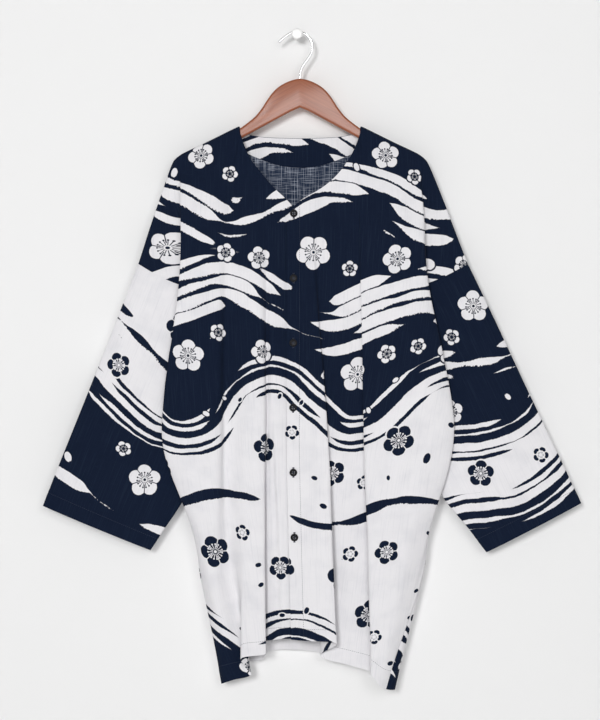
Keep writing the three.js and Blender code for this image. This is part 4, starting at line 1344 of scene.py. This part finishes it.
def thread_cross():
    """Two crossed double passes of thread through the holes."""
    build = bmesh.new()
    for sign in (-1, 1):
        beside_x, beside_z = -sign / math.sqrt(2), 1 / math.sqrt(2)
        for aside in (-THREAD_PITCH / 2, THREAD_PITCH / 2):
            rings = []
            for n in range(THREAD_STEPS + 1):
                t = n / THREAD_STEPS
                along = (t - 0.5) * 2 * DRILL_SPREAD * 1.02
                dive = 0.35 * (abs(t - 0.5) * 2) ** 6
                x, z = along + aside * 0.7, sign * (along - aside * 0.7)
                y = DISH_Y - THREAD_ARCH * math.sin(math.pi * t) ** 0.5 + dive - THREAD_OVER * (sign > 0)
                ring = []
                for side in range(THREAD_SIDES):
                    angle = 2 * math.pi * side / THREAD_SIDES
                    out, up = THREAD_RADIUS * math.cos(angle), THREAD_RADIUS * math.sin(angle)
                    corner = ((x + beside_x * out) * MM, (y + up) * MM, (z + beside_z * out) * MM)
                    ring.append(build.verts.new(corner))
                rings.append(ring)
            join_rings(build, rings)
            build.faces.new(rings[0])
            build.faces.new(rings[-1])
    return finished(build, "button_thread")


# %% A stitched buttonhole
HOLE_LENGTH, HOLE_WIDTH, SLIT_HALF, SATIN_COUNT = 14.5, 2.6, 0.2, 30
SATIN_PROUD, BAR_PROUD, BAR_PITCH, BAR_COUNT, BAR_PAST = 0.34, 0.48, 0.55, 3, 0.25
# share of a stitch's width, and how proud it is there; its edges sink into the cloth
SATIN_SECTION = [(0, None), (0.25, 0.8), (0.5, 1), (0.75, 0.8), (1, None)]
SATIN_SINK = 0.15


def satin_bar(build, x_ends, low, width, proud):
    """One rounded stitch between two sides, from a height upwards."""
    ends = []
    for x in x_ends:
        corners = [(low + width * share, SATIN_SINK if high is None else -proud * high)
                   for share, high in SATIN_SECTION]
        ends.append([build.verts.new((x * MM, y * MM, z * MM)) for z, y in corners])
    join_rings(build, ends)
    build.faces.new(ends[0][::-1])
    build.faces.new(ends[1])


def stitched_buttonhole():
    """Two close rows of satin stitches beside the slit, and a bar across each end, facing -y."""
    build = bmesh.new()
    pitch = HOLE_LENGTH / SATIN_COUNT
    for n in range(SATIN_COUNT):
        low = -HOLE_LENGTH / 2 + n * pitch
        outer = HOLE_WIDTH / 2 + 0.12 * math.sin(n * 2.7)
        satin_bar(build, (-outer, -SLIT_HALF), low, pitch, SATIN_PROUD)
        satin_bar(build, (SLIT_HALF, outer), low, pitch, SATIN_PROUD)
    outer = HOLE_WIDTH / 2 + BAR_PAST
    for end in (-1, 1):
        for n in range(BAR_COUNT):
            low = end * (HOLE_LENGTH / 2 - 0.3) + (n - BAR_COUNT / 2) * BAR_PITCH
            satin_bar(build, (-outer, outer), low, BAR_PITCH, BAR_PROUD)
    return finished(build, "buttonhole", smooth=False)


# %% Six buttons on the stand
def button_finish():
    paint = Recipe("dark button")
    point = paint.place()
    cloud = paint.noise(point * (1.0, 1.0, 2.6), 420.0, 3.0)
    scratch = paint.noise(point * (3.0, 1.0, 0.5), 900.0, 2.0)
    return paint.surface({
        "Base Color": paint.mix(cloud, (0.004, 0.004, 0.005, 1), (0.013, 0.013, 0.016, 1)),
        "Roughness": (cloud * 0.6 + scratch * 0.4).step(0.3, 0.7, 0.36, 0.52),
        "Normal": paint.bump(scratch, 0.00004, 0.4),
        "Coat Weight": cloud.step(0.3, 0.7, 0.0, 0.05),
        "Coat Roughness": 0.25,
        "Specular IOR Level": 0.14,
    })


button_mesh, cross_mesh, hole_mesh = drilled_button(), thread_cross(), stitched_buttonhole()
button_mesh.materials.append(button_finish())
cross_mesh.materials.append(navy_thread)
hole_mesh.materials.append(navy_thread)
BUTTON_GAP = 0.25 * MM  # between a button and the cloth
button_nodes = sorted(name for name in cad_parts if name.startswith("button_"))
stand, stand_normals, _ = surface["cloth_front_left"]
for n, node in enumerate(button_nodes):
    low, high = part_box(node)
    centre = (low + high) / 2
    # The button sits on the cloth's own surface at its place, turned with it.
    beside = np.abs(stand[..., 0] - centre.x) + np.abs(stand[..., 2] - centre.z)
    spot = np.unravel_index(np.argmin(beside), beside.shape)
    cloth_y = stand[spot][1]
    facing = stand_normals[spot]
    turn = math.atan2(facing[0], -facing[1])
    spin = 0.35 * math.sin(n * 2.1)  # no two buttons are sewn on at the same angle
    button = add_object(f"button_turned_{n + 1}", button_mesh)
    thread = add_object(f"button_cross_{n + 1}", cross_mesh)
    hole = add_object(f"buttonhole_{n + 1}", hole_mesh)
    for thing, away, lean in ((button, BUTTON_GAP, spin), (thread, BUTTON_GAP, spin), (hole, 0, 0)):
        thing.location = (centre.x, cloth_y - away, centre.z)
        thing.rotation_euler = (0, lean, turn)
        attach(thing, "root")
    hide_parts(node)
print("buttons:", len(button_nodes))

# %% [markdown]
# ## The wooden hanger
# The hanger is a flat board of hardwood, rounded all round, stained red-brown and lacquered. Its
# shape is one outline, repeated through the thickness. The outer copies are moved in step by step,
# which rounds the edges. The grain runs along the arms under a clear coat.

# %% Hanger board
HANGER_TOP = [
    (0, -67), (16, -70.5), (32, -79), (42.5, -89), (51, -101), (58.5, -112.5), (68, -124),
    (78, -132.5), (89, -140.7),
]
HANGER_END, HANGER_THICK, HANGER_ROUND, REST_GAP = 185.0, 11.0, 3.2, 2.0
HANGER_APEX_Z, HANGER_LOWER_SLOPE = -109.0, 0.54
ARCH_FROM, APEX_WIDTH, APEX_DROP = 150.0, 9.0, 1.6  # the rounded middle of the lower edge
ROUND_STEPS = 15
# from the top corner of an arm's end down to the lower edge: inside the end, below the corner
HANGER_TIP = [(5, 0), (2.2, 3), (0.6, 6.5), (0, 10.5), (0.5, 14.5), (2.6, 17.8)]


def lower_edge(s):
    return HANGER_APEX_Z - HANGER_LOWER_SLOPE * s


def hanger_outline():
    """Corner points (s, z) of the board, clockwise from the left end's top."""
    corner_s = HANGER_END - HANGER_TIP[0][0]
    corner_z = NECK_Z - (corner_s - NECK_S) * SHOULDER_SLOPE - REST_GAP
    half = np.array(HANGER_TOP, float)
    both = np.concatenate([half[:0:-1] * (-1, 1), half])
    run = run_along(both)
    crown = curve(run, both, np.linspace(0, run[-1], 97), firm=0)
    tip = [(HANGER_END - inside, corner_z - below) for inside, below in HANGER_TIP]
    tip.append((HANGER_END - 6.5, lower_edge(HANGER_END - 6.5) + 0.3))
    s = np.linspace(ARCH_FROM, 0, 40)
    arch = np.stack([s, lower_edge(s) - APEX_DROP * np.exp(-((s / APEX_WIDTH) ** 2)) + 0.2], 1)
    right = np.concatenate([tip, arch])
    left = right[-2::-1] * (-1, 1)
    return np.concatenate([crown, right, left])


def inset(points, distance):
    """The closed outline moved in by a distance."""
    side = points - np.roll(points, 1, axis=0)
    across = unit_rows(np.stack([side[:, 1], -side[:, 0]], 1))
    middle = unit_rows(across + np.roll(across, -1, axis=0))
    stretch = 1 / np.maximum(0.5, (middle * across).sum(1))
    return points + middle * (distance * stretch)[:, None]


def hanger_board():
    outline = hanger_outline()
    after = np.roll(outline, -1, axis=0)
    inward = 1 if np.cross(outline, after).sum() < 0 else -1
    flat_half = HANGER_THICK / 2 - HANGER_ROUND
    build = bmesh.new()
    rings = []
    for turn in np.radians(np.linspace(-90, 90, ROUND_STEPS)):
        away = (flat_half + HANGER_ROUND * abs(math.sin(turn))) * np.sign(turn)
        ring = inset(outline, inward * HANGER_ROUND * (1 - math.cos(turn)))
        rings.append([build.verts.new(((CENTRE_X + s) * MM, (HANG_Y + away) * MM, z * MM)) for s, z in ring])
    join_rings(build, rings)
    for ring in (rings[0], rings[-1]):
        face = build.faces.new(ring)
        bmesh.ops.triangulate(build, faces=[face])
    board = add_object("hanger_board", finished(build, "hanger_board"))
    keep_edges(board.data, 35)
    dress(board, "hanger_wood")
    return board


def lacquered_wood():
    paint = Recipe("lacquered wood")
    point = paint.place() * 1000.0
    from_middle = (point.axis(0) - CENTRE_X).size()
    lean = point.axis(2) + from_middle * HANGER_LOWER_SLOPE
    along = paint.vector(point.axis(0) * 0.014, point.axis(1) * 0.3, lean * 0.34)
    grain = paint.noise(along, 1.0, 4.0, 0.62)
    pores = paint.noise(along * (3.0, 6.0, 8.0), 1.0, 2.0, 0.6)
    tone = paint.mix(grain.step(0.32, 0.68), (0.230, 0.060, 0.022, 1), (0.312, 0.090, 0.034, 1))
    colour = paint.mix(pores.step(0.58, 0.74) * 0.35, tone, (0.120, 0.034, 0.016, 1))
    return paint.surface({
        "Base Color": colour,
        "Roughness": grain.step(0.3, 0.7, 0.30, 0.38),
        "Normal": paint.bump(pores, 0.0001, 0.3),
        "Coat Weight": grain.step(0.2, 0.8, 0.75, 0.9),
        "Coat Roughness": 0.12,
        "Specular IOR Level": 0.2,
    })


board = hanger_board()
board.data.materials.append(lacquered_wood())
print("hanger board:", len(board.data.polygons), "faces")

# %% [markdown]
# ## The wire hook and the wall peg
# The hook is one bent wire, plated bright. Its path is eased until it bends as evenly as real wire,
# rings of points along it make the wire, and smaller rings round off the open end. The peg is a
# small turned knob, painted white.

# %% Hook
WIRE_RADIUS = 1.75
HOOK_S, HOOK_Z, HOOK_RADIUS = -CENTRE_X, -19.0, 23.5
# s and z of the open end, degrees round the loop, then s and z down to the hanger
HOOK_TIP = [(-32.2, -12.6), (-28.4, -7.6)]
HOOK_ARC = [138, 120, 105, 90, 75, 55, 35, 15, -5, -25]
HOOK_TAIL = [(8.6, -41), (2.6, -50), (0.2, -59), (0, HANGER_TOP[0][1] + 0.1)]
WIRE_STEPS, WIRE_EASING, WIRE_SIDES = 180, 60, 20


def evenly(path, count):
    """The same path with its points at even steps."""
    run = run_along(path)
    at = np.linspace(0, run[-1], count)
    return np.stack([np.interp(at, run, path[:, 0]), np.interp(at, run, path[:, 1])], 1)


def hook_path():
    """Points (s, z) of the wire's middle, from the open tip to the hanger."""
    turns = np.radians(HOOK_ARC)
    arc = np.stack([HOOK_S + HOOK_RADIUS * np.cos(turns), HOOK_Z + HOOK_RADIUS * np.sin(turns)], 1)
    route = np.concatenate([HOOK_TIP, arc, HOOK_TAIL])
    knots = np.concatenate([[0], np.cumsum(np.linalg.norm(np.diff(route, axis=0), axis=1) ** 0.5)])
    path = evenly(curve(knots, route, np.linspace(0, knots[-1], 400), firm=0), WIRE_STEPS)
    for _ in range(WIRE_EASING):
        path[1:-1] += (path[:-2] + path[2:] - 2 * path[1:-1]) / 4
    return path


def wire_hook():
    path = hook_path()
    build = bmesh.new()
    rings = []
    for (s, z), (run_s, run_z), gone in zip(path, unit_rows(np.gradient(path, axis=0)), run_along(path)):
        short = 1 - min(gone / WIRE_RADIUS, 1)  # 1 at the open tip, 0 where the wire is full
        radius = WIRE_RADIUS * min(1.0, math.sqrt(1 - short**2) + 0.05)
        ring = []
        for n in range(WIRE_SIDES):
            turn = 2 * math.pi * n / WIRE_SIDES
            out, side = radius * math.cos(turn), radius * math.sin(turn)
            corner = (CENTRE_X + s - run_z * out, HANG_Y + side, z + run_s * out)
            ring.append(build.verts.new([part * MM for part in corner]))
        rings.append(ring)
    join_rings(build, rings)
    build.faces.new(rings[0])
    build.faces.new(rings[-1])
    hook = add_object("hook_wire", finished(build, "hook_wire"))
    dress(hook, "hanger_hook")
    return hook


def plated_steel():
    paint = Recipe("plated steel")
    haze = paint.noise(paint.place(), 260.0, 3.0)
    return paint.surface({
        "Base Color": paint.mix(haze, (0.76, 0.76, 0.77, 1), (0.88, 0.88, 0.89, 1)),
        "Metallic": 1.0,
        "Roughness": haze.step(0.3, 0.7, 0.13, 0.20),
    })


hook = wire_hook()
hook.data.materials.append(plated_steel())

# %% Peg
# radius and y, from the middle of the knob's face, along the stem, to the flange on the wall
PEG_PROFILE = [
    (0, -37), (5.0, -37), (6.2, -36.9), (7.1, -36.5), (7.7, -35.8), (8.0, -34.8), (8.0, -32.9),
    (7.7, -32.1), (7.1, -31.6), (2.45, -31.5), (2.45, -1.6), (3.6, -1.5), (4.05, -1.2), (4.2, -0.8),
    (4.2, 0), (0, 0),
]


def painted_white():
    paint = Recipe("white peg paint")
    orange_peel = paint.noise(paint.place(), 1100.0, 2.0)
    return paint.surface({
        "Base Color": paint.mix(orange_peel, (0.82, 0.82, 0.81, 1), (0.88, 0.88, 0.87, 1)),
        "Roughness": orange_peel.step(0.3, 0.7, 0.32, 0.42),
        "Normal": paint.bump(orange_peel, 0.00005, 0.4),
    })


peg_mesh = spun("peg", PEG_PROFILE, ROUND_SEGMENTS)
keep_edges(peg_mesh, 35)
peg = add_object("peg_knob", peg_mesh)
dress(peg, "wall_peg")
peg_mesh.materials.append(painted_white())
print("hook and peg:", len(hook.data.polygons), len(peg_mesh.polygons), "faces")

# %% [markdown]

# %% [markdown]
# ## Stage, light and camera
# The shirt hangs in front of a plain pale wall. A large soft key light stands in front of it, a
# little up and to the left, so that shadows stay narrow, and a second one from the right shows as a
# sheen in the lacquer. The wall is seen from its front only, so the shirt's back shows too when the
# camera goes round behind it, and two lights stand there for it. A long lens from the front keeps
# the shirt's lines straight.

# %% Wall and floor
def plain_paint(name, colour, one_sided):
    paint = Recipe(name)
    tone = paint.noise(paint.place(), 1.3, 1.0)
    shader = paint.node("ShaderNodeBsdfPrincipled", {}, {
        "Base Color": paint.mix(tone, colour, [c * 0.985 for c in colour[:3]] + [1]),
        "Roughness": tone.step(0.3, 0.7, 0.93, 0.97),
        "Specular IOR Level": 0.1,
    })
    if one_sided:
        behind = paint.node("ShaderNodeNewGeometry", out="Backfacing")
        clear = paint.node("ShaderNodeBsdfTransparent")
        shader = paint.node("ShaderNodeMixShader", {}, {0: behind, 1: shader, 2: clear})
    return paint.output(shader)


def stage_plane(name, near, far, material):
    """A level or upright plane between two of its corners, as wide as it reaches both ways."""
    mesh = bpy.data.meshes.new(name)
    corners = [(-REACH, *near), (REACH, *near), (REACH, *far), (-REACH, *far)]
    mesh.from_pydata(corners, [], [(0, 1, 2, 3)])
    mesh.materials.append(material)
    plane = add_object(name, mesh)
    return plane


WALL_Y, WALL_TOP, FLOOR_Z, REACH = 0.0008, 3.0, -1.30, 6.0
wall_paint = plain_paint("wall paint", (0.806, 0.805, 0.804, 1), one_sided=True)
wall = stage_plane("wall", (WALL_Y, FLOOR_Z), (WALL_Y, WALL_TOP), wall_paint)
wall.visible_shadow = False
floor_paint = plain_paint("floor paint", (0.70, 0.70, 0.70, 1), one_sided=False)
stage_plane("floor", (-REACH, FLOOR_Z), (REACH, FLOOR_Z), floor_paint)


# %% Lights
def soft_light(name, place, size, power):
    """A round light that looks at the middle of the shirt."""
    data = bpy.data.lights.new(name, "AREA")
    data.shape, data.size, data.energy = "DISK", size, power
    lamp = add_object(name, data)
    lamp.location = place
    x, y, z = np.array(MIDDLE) - np.array(place)
    yaw = math.atan2(y, x) - math.pi / 2
    pitch = math.atan2(z, math.hypot(x, y))
    lamp.rotation_euler = (math.pi / 2 + pitch, 0, yaw)


MIDDLE = (0.0, -0.03, -0.5)
# name, place, size in metres and power in watts
LIGHTS = [
    ("key", (-1.0, -4.9, 0.3), 1.1, 131),
    ("fill", (0.76, -3.6, 0.12), 1.7, 35),
    ("back left", (-2.2, 3.2, 0.9), 2.4, 58),
    ("back right", (2.4, 3.0, 0.6), 2.4, 40),
]
for light in LIGHTS:
    soft_light(*light)

WORLD_STRENGTH = 0.18
world = bpy.data.worlds.new("studio")
bpy.context.scene.world = world
world.use_nodes = True
background = world.node_tree.nodes["Background"]
background.inputs["Color"].default_value = (1.0, 1.0, 1.0, 1)
background.inputs["Strength"].default_value = WORLD_STRENGTH
bpy.context.scene.view_settings.view_transform = "Standard"

# %% Camera
CAMERA_PLACE = (0.00435, -2.590, -0.4905)
camera_data = bpy.data.cameras.new("camera")
camera_data.lens = 85
camera_data.sensor_fit = "VERTICAL"
camera_data.sensor_height = 36
camera = add_object("camera", camera_data)
camera.location = CAMERA_PLACE
camera.rotation_euler = (math.pi / 2, 0, 0)
bpy.context.scene.camera = camera
